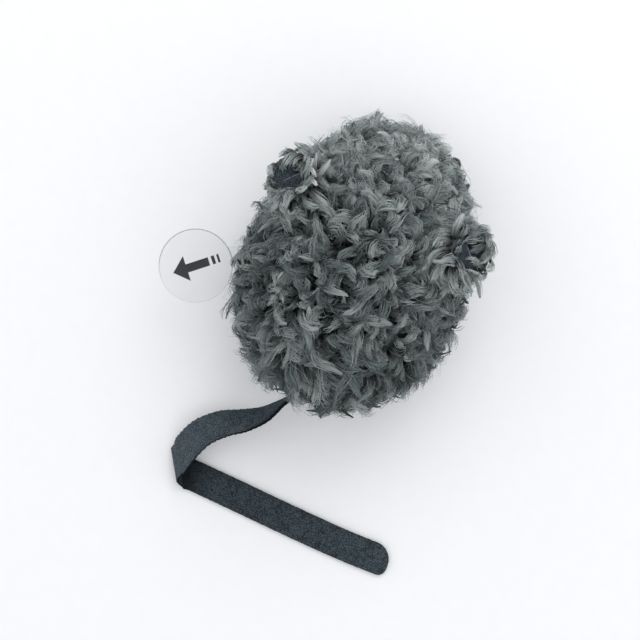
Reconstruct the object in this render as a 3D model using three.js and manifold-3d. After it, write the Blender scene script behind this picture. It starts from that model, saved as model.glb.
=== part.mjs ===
// A shaggy plush mouse for cats: three plush panels sewn round fibre stuffing, a catnip sachet and
// a chirping sound module, with suede-lined ears, a suede tail and the clear film tab that keeps
// the battery circuit open until it is pulled out.
// Millimetres, +Z up, +Y towards the nose, +X towards the mouse's right side. The origin is the
// middle of the flat that the belly rests on.
import * as THREE from "three";
import { mergeVertices } from "three/addons/utils/BufferGeometryUtils.js";
import Module from "manifold-3d";

const wasm = await Module();
wasm.setup();

// Clearances
const FIT = 0.3; // between pieces that lie against each other
const SEAM_GAP = 0.3; // between sewn panels
const RUNNING_GAP = 0.4; // round a piece that slides or swings

// Stuffed body, measured over the pile
const BODY_LENGTH = 97;
const BODY_WIDTH = 77;
const BODY_HEIGHT = 58;
const BELLY_SAG = 2; // depth of the belly that the floor presses flat
const NOSE_SLIM = 0.1; // how much slimmer the nose end is than the middle, as a ratio
const NOSE_DROP = 8; // how far the nose tip sits below the middle of the body
const RUMP_POWER = 2.4; // 2 rounds the rump like an ellipse, more makes it squarer
const PLUSH_THICKNESS = 8; // backing and pile together
const SEAM_DROP = 6; // below the body's middle, where the belly panel meets the side panels

// Tufts of the pile, in staggered rows from the nose to the rump
const TUFT_COLUMNS = 24; // tufts in each row
const TUFT_ROWS = 12;
const TUFT_DEPTH = 4; // from the tips down to the partings between tufts
const TUFT_ROOT = 0.6; // depth of a tuft's root, as a share of a parting's
const TUFT_LEAN = 0.4; // how far the tips lie back over the next row, in half rows
const TUFT_STRAY = 0.5; // how far a tip strays to either side, in half tufts
const TUFT_UNEVEN = 0.3; // how much shorter the shortest tufts are, as a ratio
const TUFT_FLAT_BELLY = { flat: -0.75, full: -0.35 }; // heights round the body, from -1 to 1
const TUFT_FLAT_ENDS = { flat: 0.08, full: 0.42 }; // distances from the nose's and rump's ends, to 1

// Ears
const EAR_DIAMETER = 19;
const EAR_THICKNESS = 5;
const EAR_CUP_DEPTH = 2.6;
const EAR_FORWARD = 14; // ahead of the body's middle
const EAR_SPREAD = 48; // degrees from the top of the back, round the body
const EAR_TILT = 36; // degrees that the opening leans outwards
const EAR_LIFT = 2.4; // middle of the ear above the pile
const LINING_DIAMETER = 12;
const LINING_THICKNESS = 1.2;

// Face
const EYE_DIAMETER = 5;
const EYE_SINK = 3.2; // how far the bead sits down in the pile
const EYE_SHANK_DIAMETER = 2;
const EYE_ROUND = 27; // degrees from the nose, towards the side
const EYE_DIP = 16; // degrees below the middle of the face
const WASHER_DIAMETER = 7;
const WASHER_THICKNESS = 1;
const NOSE_DIAMETER = 8;
const NOSE_STAND = 2.6; // how far the nose stands out of the pile
const NOSE_DIP = 24; // degrees below the tip of the face

// Tail: a strip cut from suede
const TAIL_WIDTH = 10;
const TAIL_THICKNESS = 1.2;
const TAIL_SWING = 40; // degrees to each side
const TAIL_LEAN = 27; // degrees that the strip has turned to the left where the pile ends
const TAIL_ROOT_DEPTH = 9.8; // from the end of the rump in to the swing's axis
const TAIL_BELOW_SEAM = 3.8; // upper edge of the strip, at its root
const TAIL_STEP_LENGTH = 10; // the strip's route is laid out in such steps
const TIP_CROWDING = 1.35; // more than 1 crowds the strip's steps towards its tip
const TIP_INNER_RADIUS = 6.2; // of the tip's corner towards the mouse
const TIP_FLAT = 1.2; // width left at the very tip; its other corner takes the rest
const TAIL_FLOOR_GAP = 0.1; // under the stretch that lies on the floor
const FOLD_RADIUS = 1.4; // of the strip's middle layer where it is folded over

// Catnip sachet
const SACHET_LENGTH = 22;
const SACHET_WIDTH = 26;
const SACHET_HEIGHT = 13;
const SACHET_X = 4;
const SACHET_FROM_RUMP = 26.5; // end of the rump to the middle of the sachet

// Sound module, a round two-part case
const MODULE_X = -4.2;
const MODULE_Y = 7.8;
const MODULE_TURN = 41.7; // degrees, so that its slot faces the tab
const CASE_WALL = 1.3;
const CASE_FLOOR = 1.5;
const CASE_LEDGE = 0.8; // the step that carries the circuit board
const RIM_ABOVE_BOARD = 0.6; // where the case splits
const CRADLE_HEIGHT = 4; // of the block that the cells sit in
const CELL_DIAMETER = 11.6;
const CELL_HEIGHT = 5.4;
const CELL_LIP = 0.5; // bevel round a cell's lower cap
const CELL_SPACING = 1.4; // between the two cells
const CELL_TO_LEDGE = 0.6;
const CONTACT_THICKNESS = 0.4;
const CONTACT_WIDTH = 5;
const BOARD_THICKNESS = 1.2;
const CHIP_DIAMETER = 6;
const CHIP_HEIGHT = 1.6;
const SWITCH_DIAMETER = 4.4;
const SWITCH_LENGTH = 9;
const SWITCH_WALL = 0.4;
const SWITCH_PLUG = 1.2;
const BALL_DIAMETER = 2.8;
const PIEZO_DIAMETER = 14;
const PIEZO_THICKNESS = 0.4;
const CERAMIC_DIAMETER = 9;
const CERAMIC_THICKNESS = 0.3;
const PIEZO_RING_HEIGHT = 0.6;
const PIEZO_RING_WIDTH = 1.2;
const LEAD_DIAMETER = 0.9;
const SCREW_DIAMETER = 2;
const SCREW_HEAD_DIAMETER = 3.6;
const SCREW_HEAD_HEIGHT = 1.2;
const POST_WALL = 0.9; // round a screw's head, and so the post's size
const SOUND_HOLE_DIAMETER = 1.6;
const SOUND_HOLE_RING = 3.6;
const SOUND_HOLES = 6;

// Pull tab, cut from clear film
const TAB_HEAD_DIAMETER = 23.4;
const TAB_NECK_WIDTH = 4.6;
const TAB_FILM = 0.3;
const TAB_REACH = 51.5; // middle of the head to the middle of the module
const TAB_PAST_CELL = 4; // the neck's end past the middle of the cell

// Facet counts
const ROUND = 24;
const BODY_ROUND = 36;
const BODY_RINGS = 20;
const TAIL_STEPS = 66;

const PLUSH = { color: 0x7b8182, roughness: 0.95 };
const SUEDE = { color: 0x3f474d, roughness: 0.9 };
const FIBRE = { color: 0xe9e9e4, roughness: 1 };
const MUSLIN = { color: 0xd8cfb4, roughness: 1 };
const FILM = { color: 0xf2f4f4, roughness: 0.15 };
const BLACK_GLOSS = { color: 0x101012, roughness: 0.2 };
const WHITE_PLASTIC = { color: 0xe4e2da, roughness: 0.5 };
const BOARD_GREEN = { color: 0x1f5b37, roughness: 0.55 };
const STEEL = { color: 0xb9bcc0, roughness: 0.3, metalness: 1 };
const BRASS = { color: 0xc9a24c, roughness: 0.35, metalness: 1 };
const CERAMIC = { color: 0xe6dfc6, roughness: 0.6 };
const RED_WIRE = { color: 0xb3261e, roughness: 0.5 };
const BLACK_WIRE = { color: 0x19191b, roughness: 0.5 };

const rad = THREE.MathUtils.degToRad;
const smoothstep = THREE.MathUtils.smoothstep;
const AXIS_Z = new THREE.Vector3(0, 0, 1);

// Closed geometry as a solid that can be joined and cut.
function solid(geometry) {
  const plain = new THREE.BufferGeometry();
  plain.setAttribute("position", geometry.getAttribute("position").clone());
  if (geometry.index) plain.setIndex(geometry.index.clone());
  const merged = mergeVertices(plain, 1e-4);
  return new wasm.Manifold(
    new wasm.Mesh({
      numProp: 3,
      vertProperties: new Float32Array(merged.getAttribute("position").array),
      triVerts: new Uint32Array(merged.index.array),
    }),
  );
}

// A named piece, from geometry or from a solid.
function piece(name, shape, finish) {
  let geometry = shape;
  if (!shape.isBufferGeometry) {
    const made = shape.getMesh();
    geometry = new THREE.BufferGeometry();
    geometry.setAttribute("position", new THREE.BufferAttribute(made.vertProperties, 3));
    geometry.setIndex(new THREE.BufferAttribute(made.triVerts, 1));
    geometry.computeVertexNormals();
  }
  const mesh = new THREE.Mesh(geometry, new THREE.MeshStandardMaterial(finish));
  mesh.name = name;
  return mesh;
}

// A solid of revolution about +Z, from a profile of [radius, height] that goes up its outside.
function turned(profile, sides = ROUND) {
  const points = profile.map(([radius, height]) => new THREE.Vector2(radius, height));
  return new THREE.LatheGeometry(points, sides).rotateX(Math.PI / 2);
}

// A round bar along +Z.
function bar(diameter, low, high, sides = ROUND) {
  const radius = diameter / 2;
  return turned([[0, low], [radius, low], [radius, high], [0, high]], sides);
}

// A box between two corners.
function block(low, high) {
  const size = high.map((value, i) => value - low[i]);
  const middle = high.map((value, i) => (value + low[i]) / 2);
  return new THREE.BoxGeometry(...size).translate(...middle);
}

// Turns geometry made along +Z to point along a direction, and moves it to a place.
function aimed(geometry, direction, place) {
  const turn = new THREE.Quaternion().setFromUnitVectors(AXIS_Z, direction.clone().normalize());
  return geometry.applyQuaternion(turn).translate(place.x, place.y, place.z);
}

// Body

const HALF_HEIGHT = (BODY_HEIGHT + BELLY_SAG) / 2;
const MIDDLE_HEIGHT = BODY_HEIGHT - HALF_HEIGHT;
const SEAM_HEIGHT = MIDDLE_HEIGHT - SEAM_DROP;
const WIDE = BODY_LENGTH + BODY_WIDTH; // wider than anything that a cut has to cross

// The point of the egg-shaped body in a direction from its middle, some way below the pile.
function bodyPoint(direction, inset = 0) {
  const along = THREE.MathUtils.clamp(direction.y, -1, 1);
  const across = Math.hypot(direction.x, direction.z);
  const power = along < 0 ? RUMP_POWER : 2;
  const ring = Math.pow(1 - Math.pow(Math.abs(along), power), 1 / power);
  const scale = across > 1e-6 ? (ring / across) * (1 - NOSE_SLIM * along) : 0;
  return new THREE.Vector3(
    direction.x * scale * (BODY_WIDTH / 2 - inset),
    along * (BODY_LENGTH / 2 - inset),
    MIDDLE_HEIGHT + direction.z * scale * (HALF_HEIGHT - inset) - NOSE_DROP * Math.max(along, 0) ** 2,
  );
}

function egg(inset) {
  const geometry = new THREE.SphereGeometry(1, BODY_ROUND, BODY_RINGS);
  const position = geometry.getAttribute("position");
  const direction = new THREE.Vector3();
  for (let i = 0; i < position.count; i++) {
    const point = bodyPoint(direction.fromBufferAttribute(position, i), inset);
    position.setXYZ(i, point.x, point.y, point.z);
  }
  return solid(geometry);
}

// The outer face of the pile. Each tuft rises from its root to a tip that lies back towards the rump,
// with a parting on both sides. Tufts lie flat under the belly and at the ends of nose and rump.
function tuftedEgg() {
  const columns = 2 * TUFT_COLUMNS;
  const rings = 2 * TUFT_ROWS;
  const geometry = new THREE.SphereGeometry(1, columns, rings);
  const position = geometry.getAttribute("position");
  const direction = new THREE.Vector3();
  for (let i = 0; i < position.count; i++) {
    const ring = Math.floor(i / (columns + 1));
    const column = (i % (columns + 1)) % columns;
    const row = Math.floor(ring / 2);
    const isRoot = ring % 2 === 0;
    const isTip = !isRoot && (row + column) % 2 === 0;
    const stray = isTip ? TUFT_STRAY * Math.sin(7 * row + 5 * column) : 0;
    const polar = (Math.PI * (isRoot ? ring : ring + TUFT_LEAN)) / rings;
    const round = (2 * Math.PI * (column + stray)) / columns - Math.PI / 2;
    direction.setFromSphericalCoords(1, polar, round);
    const offBelly = smoothstep(direction.z, TUFT_FLAT_BELLY.flat, TUFT_FLAT_BELLY.full);
    const offEnds = smoothstep(Math.sin(polar), TUFT_FLAT_ENDS.flat, TUFT_FLAT_ENDS.full);
    const shortness = TUFT_UNEVEN * Math.sin(11 * row + 3 * column) ** 2;
    const sunk = isTip ? shortness : isRoot ? TUFT_ROOT : 1;
    const point = bodyPoint(direction, TUFT_DEPTH * offBelly * offEnds * sunk);
    position.setXYZ(i, point.x, point.y, point.z);
  }
  return solid(geometry);
}

const above = (height) => solid(block([-WIDE, -WIDE, height], [WIDE, WIDE, WIDE]));
const below = (height) => solid(block([-WIDE, -WIDE, -WIDE], [WIDE, WIDE, height]));
const leftOf = (x) => solid(block([-WIDE, -WIDE, -WIDE], [x, WIDE, WIDE]));
const rightOf = (x) => solid(block([x, -WIDE, -WIDE], [WIDE, WIDE, WIDE]));

// Levels of the module's layers, from its own underside

const busLow = CASE_FLOOR + FIT;
const cellLow = busLow + CONTACT_THICKNESS + FIT;
const cellHigh = cellLow + CELL_HEIGHT;
const tabLow = cellHigh + FIT;
const tabHigh = tabLow + TAB_FILM;
const leafLow = tabHigh + FIT;
const boardLow = leafLow + CONTACT_THICKNESS + FIT;
const boardHigh = boardLow + BOARD_THICKNESS;
const baseHigh = boardHigh + RIM_ABOVE_BOARD;
const coverLow = baseHigh + FIT;
const switchLow = boardHigh + FIT;
const switchMiddle = switchLow + SWITCH_DIAMETER / 2;
const ceramicLow = switchLow + SWITCH_DIAMETER + FIT;
const ceramicHigh = ceramicLow + CERAMIC_THICKNESS;
const piezoLow = ceramicHigh + FIT;
const piezoHigh = piezoLow + PIEZO_THICKNESS;
const roofLow = piezoHigh + FIT + PIEZO_RING_HEIGHT;
const coverHigh = roofLow + CASE_WALL;

// Radii and places across the module
const cellOffset = (CELL_DIAMETER + CELL_SPACING) / 2;
const ledgeRadius = cellOffset + CELL_DIAMETER / 2 + CELL_TO_LEDGE;
const postRadius = SCREW_HEAD_DIAMETER / 2 + RUNNING_GAP + POST_WALL;
const postSink = CASE_WALL / 2; // how far a post runs into the case's wall
const sounderRoom = PIEZO_DIAMETER / 2 + FIT + 2 * postRadius - postSink;
const boreRadius = Math.max(ledgeRadius + CASE_LEDGE, sounderRoom);
const caseRadius = boreRadius + CASE_WALL;
const screwOffset = boreRadius + postSink - postRadius;
const screwHole = SCREW_DIAMETER + 2 * FIT;

const module = new THREE.Group();
module.position.set(MODULE_X, MODULE_Y, SEAM_HEIGHT - (tabLow + tabHigh) / 2);
module.rotation.z = rad(MODULE_TURN);
module.updateMatrixWorld();

// Pull tab: a round head on a narrow neck that runs between a cell and its contact

function makeTab() {
  const head = TAB_HEAD_DIAMETER / 2;
  const neck = TAB_NECK_WIDTH / 2;
  const corner = Math.asin(neck / head);
  const outline = new THREE.Shape();
  outline.moveTo(TAB_PAST_CELL, cellOffset + neck);
  outline.absarc(-TAB_REACH, cellOffset, head, corner, 2 * Math.PI - corner, false);
  outline.lineTo(TAB_PAST_CELL, cellOffset - neck);
  outline.closePath();
  const flat = { depth: TAB_FILM, bevelEnabled: false, curveSegments: ROUND };
  return new THREE.ExtrudeGeometry(outline, flat).translate(0, 0, tabLow);
}

// The way that the neck takes out of the module, the stuffing and the plush.
function tabWay() {
  const half = TAB_NECK_WIDTH / 2 + RUNNING_GAP;
  const low = [-TAB_REACH, cellOffset - half, tabLow - RUNNING_GAP];
  const high = [TAB_PAST_CELL + RUNNING_GAP, cellOffset + half, tabHigh + RUNNING_GAP];
  return block(low, high);
}

const tabWayInBody = solid(tabWay().applyMatrix4(module.matrixWorld));

// Tail: stations chosen along the strip's middle line, in steps to the right and back from its root,
// each with its height and the direction across the strip. It leaves the rump on edge, turns flat,
// is folded over on the floor and lies out to its tip.

const tailRootY = TAIL_ROOT_DEPTH - BODY_LENGTH / 2;
const tailRootZ = SEAM_HEIGHT - TAIL_BELOW_SEAM - TAIL_WIDTH / 2;
const restHeight = TAIL_THICKNESS / 2 + TAIL_FLOOR_GAP;
const foldHeight = restHeight + 2 * FOLD_RADIUS;
const TAIL_STATIONS = [
  { right: 0, back: 0, height: tailRootZ, across: [0, 0, 1] },
  { right: -0.05, back: 0.37, height: 0.99 * tailRootZ, across: [0, 0, 1] },
  { right: -0.19, back: 0.79, height: 0.97 * tailRootZ, across: [0.02, 0, 1] },
  { right: -0.46, back: 1.21, height: 0.92 * tailRootZ, across: [0.1, -0.06, 0.99] },
  { right: -0.84, back: 1.77, height: 0.86 * tailRootZ, across: [0.36, -0.19, 0.91] },
  { right: -1.34, back: 2.19, height: 0.79 * tailRootZ, across: [0.58, -0.3, 0.76] },
  { right: -1.95, back: 2.61, height: 0.68 * tailRootZ, across: [0.74, -0.33, 0.58] },
  { right: -2.46, back: 3.15, height: 0.58 * tailRootZ, across: [0.83, -0.31, 0.46] },
  { right: -2.72, back: 3.75, height: 0.47 * tailRootZ, across: [0.8, -0.44, 0.4] },
  { right: -2.82, back: 4.25, height: 1.41 * foldHeight, across: [0.57, -0.75, 0.34] },
  { right: -2.85, back: 4.5, height: 0.94 * foldHeight, across: [0.55, -0.8, 0.25] },
  { right: -2.64, back: 4.6, height: 0.345 * foldHeight, across: [0.55, -0.83, 0.08] },
  { right: -2, back: 4.62, height: restHeight, across: [0.2, -0.98, 0] },
  { right: -0.8, back: 4.65, height: restHeight, across: [0, -1, 0] },
  { right: 1.2, back: 4.71, height: restHeight, across: [0, -1, 0] },
  { right: 3.2, back: 4.74, height: restHeight, across: [0, -1, 0] },
  { right: 4.83, back: 4.69, height: restHeight, across: [0, -1, 0] },
];

function tailPlace(station) {
  const { right, back, height } = station;
  return new THREE.Vector3(right * TAIL_STEP_LENGTH, tailRootY - back * TAIL_STEP_LENGTH, height);
}

const tipInnerRadius = Math.min(TIP_INNER_RADIUS, TAIL_WIDTH - TIP_FLAT);
const tipOuterRadius = TAIL_WIDTH - TIP_FLAT - tipInnerRadius;

// How much a round corner takes off the strip's half width, some way from its tip.
function cornerCut(toTip, radius) {
  const past = Math.max(radius - toTip, 0);
  return radius - Math.sqrt(radius ** 2 - past ** 2);
}

function makeTail() {
  const middle = new THREE.CatmullRomCurve3(TAIL_STATIONS.map(tailPlace));
  const ruling = new THREE.CatmullRomCurve3(TAIL_STATIONS.map((s) => new THREE.Vector3(...s.across)));
  const tip = middle.getPoint(1);
  const corners = [];
  for (let i = 0; i <= TAIL_STEPS; i++) {
    // Steps crowd together towards the tip, which is round.
    const t = 1 - Math.pow(1 - i / TAIL_STEPS, TIP_CROWDING);
    const place = middle.getPoint(t);
    place.z = Math.max(place.z, restHeight);
    const ahead = middle.getTangent(t);
    const across = ruling.getPoint(t).normalize();
    const square = across.clone().addScaledVector(ahead, -across.dot(ahead)).length();
    const toTip = t > 0.8 ? place.distanceTo(tip) : TAIL_WIDTH;
    const inner = (TAIL_WIDTH / 2 - cornerCut(toTip, tipInnerRadius)) / square;
    const outer = (TAIL_WIDTH / 2 - cornerCut(toTip, tipOuterRadius)) / square;
    const out = new THREE.Vector3().crossVectors(ahead, across).normalize();
    for (const [edge, face] of [[-inner, -1], [outer, -1], [outer, 1], [-inner, 1]]) {
      const corner = place.clone().addScaledVector(across, edge);
      corners.push(...corner.addScaledVector(out, (face * TAIL_THICKNESS) / 2).toArray());
    }
  }
  const faces = [];
  for (let i = 0; i < TAIL_STEPS; i++) {
    for (let k = 0; k < 4; k++) {
      const [a, b] = [4 * i + k, 4 * i + ((k + 1) % 4)];
      faces.push(a, b, b + 4, a, b + 4, a + 4);
    }
  }
  const last = 4 * TAIL_STEPS;
  faces.push(0, 2, 1, 0, 3, 2, last, last + 1, last + 2, last, last + 2, last + 3);
  const strip = new THREE.BufferGeometry();
  strip.setAttribute("position", new THREE.Float32BufferAttribute(corners, 3));
  strip.setIndex(faces);
  return strip;
}

// The parting in the pile that the tail swings in, a fan about the swing's axis.
function tailPocket() {
  const hub = TAIL_THICKNESS / 2 + RUNNING_GAP;
  const reach = TAIL_ROOT_DEPTH + hub;
  const toLeft = rad(-90 - TAIL_SWING - TAIL_LEAN);
  const toRight = rad(-90 + TAIL_SWING);
  const fan = new THREE.Shape();
  fan.absarc(0, 0, hub, toRight + Math.PI / 2, toLeft - Math.PI / 2 + 2 * Math.PI, false);
  fan.lineTo(reach * 2 * Math.cos(toLeft), reach * 2 * Math.sin(toLeft));
  fan.lineTo(0, -reach * 3);
  fan.lineTo(reach * 2 * Math.cos(toRight), reach * 2 * Math.sin(toRight));
  fan.closePath();
  const height = TAIL_WIDTH + 2 * RUNNING_GAP;
  const cut = new THREE.ExtrudeGeometry(fan, { depth: height, bevelEnabled: false, curveSegments: 8 });
  return solid(cut.translate(0, tailRootY, tailRootZ - height / 2));
}

// Catnip sachet: a small pillow with drawn-in edges
function sachet(margin) {
  const pillow = new THREE.SphereGeometry(1, ROUND, 12).rotateX(Math.PI / 2);
  const position = pillow.getAttribute("position");
  const middleY = SACHET_FROM_RUMP - BODY_LENGTH / 2;
  for (let i = 0; i < position.count; i++) {
    const [x, y, z] = [position.getX(i), position.getY(i), position.getZ(i)];
    const swell = Math.sign(z) * Math.pow(Math.abs(z), 1.25);
    position.setXYZ(
      i,
      SACHET_X + x * (SACHET_WIDTH / 2 + margin),
      middleY + y * (SACHET_LENGTH / 2 + margin),
      SEAM_HEIGHT + swell * (SACHET_HEIGHT / 2 + margin),
    );
  }
  return solid(pillow);
}

// Eyes: beads on shanks that go through the plush to washers behind it

function eyeParts(side) {
  const direction = new THREE.Vector3(
    side * Math.sin(rad(EYE_ROUND)) * Math.cos(rad(EYE_DIP)),
    Math.cos(rad(EYE_ROUND)) * Math.cos(rad(EYE_DIP)),
    -Math.sin(rad(EYE_DIP)),
  );
  const seat = bodyPoint(direction);
  const inward = bodyPoint(direction, PLUSH_THICKNESS).sub(seat);
  const depth = inward.length();
  const outward = inward.negate();
  const radius = EYE_DIAMETER / 2;
  const shank = EYE_SHANK_DIAMETER / 2;
  const back = -depth - WASHER_THICKNESS - 3 * FIT;
  const bead = [[0, back], [shank, back]];
  const underside = Math.acos(shank / radius);
  for (let i = 0; i <= 6; i++) {
    const angle = THREE.MathUtils.lerp(-underside, Math.PI / 2, i / 6);
    bead.push([radius * Math.cos(angle), radius - EYE_SINK + radius * Math.sin(angle)]);
  }
  bead[bead.length - 1][0] = 0;
  const washerHigh = -depth - 2 * FIT;
  const washerLow = washerHigh - WASHER_THICKNESS;
  const rim = WASHER_DIAMETER / 2;
  const hole = shank + FIT;
  const washer = [[hole, washerLow], [rim, washerLow], [rim, washerHigh], [hole, washerHigh]];
  washer.push(washer[0]);
  const bore = radius + FIT;
  const way = [[0, back], [hole, back], [hole, -EYE_SINK - FIT], [bore, -EYE_SINK - FIT + bore]];
  way.push([bore, EYE_DIAMETER], [0, EYE_DIAMETER]);
  const room = [[0, back - FIT], [rim + FIT, back - FIT]];
  room.push([rim + FIT, washerHigh + FIT], [0, washerHigh + FIT]);
  return {
    bead: aimed(turned(bead, 16), outward, seat),
    washer: aimed(turned(washer, 16), outward, seat),
    hole: solid(aimed(turned(way, 16), outward, seat)),
    room: solid(aimed(turned(room, 16), outward, seat)),
  };
}

// Nose: a low suede button on the tip of the face
function makeNose(pile) {
  const direction = new THREE.Vector3(0, Math.cos(rad(NOSE_DIP)), -Math.sin(rad(NOSE_DIP)));
  const seat = bodyPoint(direction);
  const button = new THREE.SphereGeometry(1, 20, 12);
  button.scale(NOSE_DIAMETER / 2, NOSE_DIAMETER / 2, NOSE_STAND);
  return solid(aimed(button, direction, seat)).subtract(pile);
}

// Ears: plush cups lined with suede, sewn to the sides of the head

function earParts(side, pile) {
  const along = EAR_FORWARD / (BODY_LENGTH / 2);
  const round = Math.sqrt(1 - along * along);
  const spread = rad(EAR_SPREAD);
  const direction = new THREE.Vector3(side * round * Math.sin(spread), along, round * Math.cos(spread));
  const opening = new THREE.Vector3(side * Math.sin(rad(EAR_TILT)), 0.1, Math.cos(rad(EAR_TILT))).normalize();
  const seat = bodyPoint(direction).addScaledVector(opening, EAR_LIFT);
  const radius = EAR_DIAMETER / 2;
  const lining = LINING_DIAMETER / 2;
  const half = EAR_THICKNESS / 2;
  const floor = half - EAR_CUP_DEPTH;
  const cup = [[0, -half], [radius * 0.62, -half], [radius * 0.92, -half * 0.3], [radius, half * 0.5]];
  cup.push([radius * 0.9, half], [lining + FIT, floor + FIT], [lining + FIT, floor], [0, floor]);
  const pad = [[0, floor + FIT], [lining, floor + FIT]];
  pad.push([lining, floor + FIT + LINING_THICKNESS], [lining * 0.55, floor + FIT + LINING_THICKNESS * 0.8]);
  pad.push([0, floor + FIT + LINING_THICKNESS * 0.7]);
  return {
    plush: solid(aimed(turned(cup, 20), opening, seat)).subtract(pile),
    lining: solid(aimed(turned(pad, 20), opening, seat)).subtract(pile),
  };
}

// Sound module, in its own frame: its underside at zero, +X along the tab's way in

// The two screws stand either side of the cells.
const SCREW_PLACES = [-screwOffset, screwOffset];

function atScrews(shape) {
  return SCREW_PLACES.map((x) => solid(shape().translate(x, 0, 0)));
}

function makeBase() {
  const cup = [[0, 0], [caseRadius, 0], [caseRadius, baseHigh], [boreRadius, baseHigh]];
  cup.push([boreRadius, boardLow - FIT], [ledgeRadius, boardLow - FIT]);
  cup.push([ledgeRadius, CRADLE_HEIGHT], [0, CRADLE_HEIGHT]);
  let base = solid(turned(cup));
  for (const boss of atScrews(() => bar(2 * postRadius, CRADLE_HEIGHT / 2, boardLow - FIT, 16))) {
    base = base.add(boss);
  }
  for (const y of [-cellOffset, cellOffset]) {
    const pocket = bar(CELL_DIAMETER + 2 * FIT, cellLow - FIT, coverHigh).translate(0, y, 0);
    base = base.subtract(solid(pocket));
  }
  const halfBus = CONTACT_WIDTH / 2 + FIT;
  const busReach = cellOffset + CELL_DIAMETER / 4 + FIT;
  base = base.subtract(solid(block([-halfBus, -busReach, CASE_FLOOR], [halfBus, busReach, coverHigh])));
  for (const hole of atScrews(() => bar(screwHole, CASE_FLOOR, coverHigh, 12))) {
    base = base.subtract(hole);
  }
  return base.subtract(solid(tabWay()));
}

function makeCover() {
  const cap = [[0, roofLow], [boreRadius, roofLow], [boreRadius, coverLow], [caseRadius, coverLow]];
  cap.push([caseRadius, coverHigh - CASE_WALL], [caseRadius - CASE_WALL, coverHigh], [0, coverHigh]);
  let cover = solid(turned(cap));
  const ring = PIEZO_DIAMETER / 2;
  const inner = ring - PIEZO_RING_WIDTH;
  const ringLow = piezoHigh + FIT;
  const sunk = roofLow + CASE_WALL / 2;
  const seat = [[inner, ringLow], [ring, ringLow], [ring, sunk], [inner, sunk], [inner, ringLow]];
  cover = cover.add(solid(turned(seat)));
  const insideBase = solid(bar(2 * (boreRadius - FIT), 0, coverHigh));
  for (const foot of atScrews(() => bar(2 * postRadius, boardHigh + FIT, sunk, 16))) {
    cover = cover.add(foot.intersect(insideBase));
  }
  for (const post of atScrews(() => bar(2 * postRadius, coverLow + FIT, sunk, 16))) {
    cover = cover.add(post);
  }
  const headRoom = SCREW_HEAD_DIAMETER + 2 * RUNNING_GAP;
  const headSeat = coverHigh - SCREW_HEAD_HEIGHT - FIT;
  for (const sink of atScrews(() => bar(headRoom, headSeat, coverHigh + FIT, 16))) {
    cover = cover.subtract(sink);
  }
  for (const hole of atScrews(() => bar(screwHole, boardLow, coverHigh, 12))) {
    cover = cover.subtract(hole);
  }
  for (let i = 0; i <= SOUND_HOLES; i++) {
    const angle = (2 * Math.PI * i) / SOUND_HOLES;
    const out = i < SOUND_HOLES ? SOUND_HOLE_RING : 0;
    const hole = bar(SOUND_HOLE_DIAMETER, roofLow - FIT, coverHigh + FIT, 10);
    cover = cover.subtract(solid(hole.translate(out * Math.cos(angle), out * Math.sin(angle), 0)));
  }
  return cover;
}

function makeBoard() {
  let board = solid(bar(2 * (boreRadius - FIT), boardLow, boardHigh));
  for (const hole of atScrews(() => bar(screwHole, boardLow - FIT, boardHigh + FIT, 12))) {
    board = board.subtract(hole);
  }
  return board;
}

function makeScrew() {
  const headLow = coverHigh - SCREW_HEAD_HEIGHT;
  const shank = SCREW_DIAMETER / 2;
  const head = SCREW_HEAD_DIAMETER / 2;
  const profile = [[0, CASE_FLOOR + FIT], [shank * 0.4, CASE_FLOOR + FIT], [shank, CASE_FLOOR + FIT + shank]];
  profile.push([shank, headLow], [head, headLow], [head * 0.8, coverHigh], [0, coverHigh]);
  return turned(profile, 16);
}

function makeCell() {
  const radius = CELL_DIAMETER / 2;
  const profile = [[0, cellLow], [radius - CELL_LIP, cellLow], [radius, cellLow + CELL_LIP]];
  profile.push([radius, cellHigh], [0, cellHigh]);
  return turned(profile);
}

// A contact leaf: flat over the cell, stepped up to its solder pad under the board.
function makeLeaf(contactLow) {
  const padLow = boardLow - FIT - CONTACT_THICKNESS;
  const end = CELL_DIAMETER / 4;
  const step = padLow - contactLow;
  const outline = new THREE.Shape();
  outline.moveTo(-end, contactLow);
  outline.lineTo(end, contactLow);
  outline.lineTo(end + step + CONTACT_THICKNESS, padLow);
  outline.lineTo(2 * end, padLow);
  outline.lineTo(2 * end, padLow + CONTACT_THICKNESS);
  outline.lineTo(end + step, padLow + CONTACT_THICKNESS);
  outline.lineTo(end - CONTACT_THICKNESS, contactLow + CONTACT_THICKNESS);
  outline.lineTo(-end, contactLow + CONTACT_THICKNESS);
  outline.closePath();
  const strip = new THREE.ExtrudeGeometry(outline, { depth: CONTACT_WIDTH, bevelEnabled: false });
  return strip.translate(0, 0, -CONTACT_WIDTH / 2).rotateX(Math.PI / 2);
}

function makeBus() {
  const half = CONTACT_WIDTH / 2;
  const reach = cellOffset + CELL_DIAMETER / 4;
  return block([-half, -reach, busLow], [half, reach, busLow + CONTACT_THICKNESS]);
}

function makeChip() {
  const radius = CHIP_DIAMETER / 2;
  const low = boardHigh + FIT;
  const dome = [[0, low], [radius, low], [radius * 0.86, low + CHIP_HEIGHT * 0.6]];
  dome.push([radius * 0.5, low + CHIP_HEIGHT * 0.93], [0, low + CHIP_HEIGHT]);
  return turned(dome, 18).translate(0, -cellOffset, 0);
}

// Motion switch: a can on the board with a plug in its mouth and a loose ball inside
const switchFloor = -SWITCH_LENGTH / 2 + SWITCH_WALL;
const plugFace = SWITCH_LENGTH / 2 - SWITCH_PLUG;

// Lays a turned piece along +X at the motion switch.
function onSwitch(geometry) {
  return geometry.rotateY(Math.PI / 2).translate(0, cellOffset, switchMiddle);
}

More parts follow.
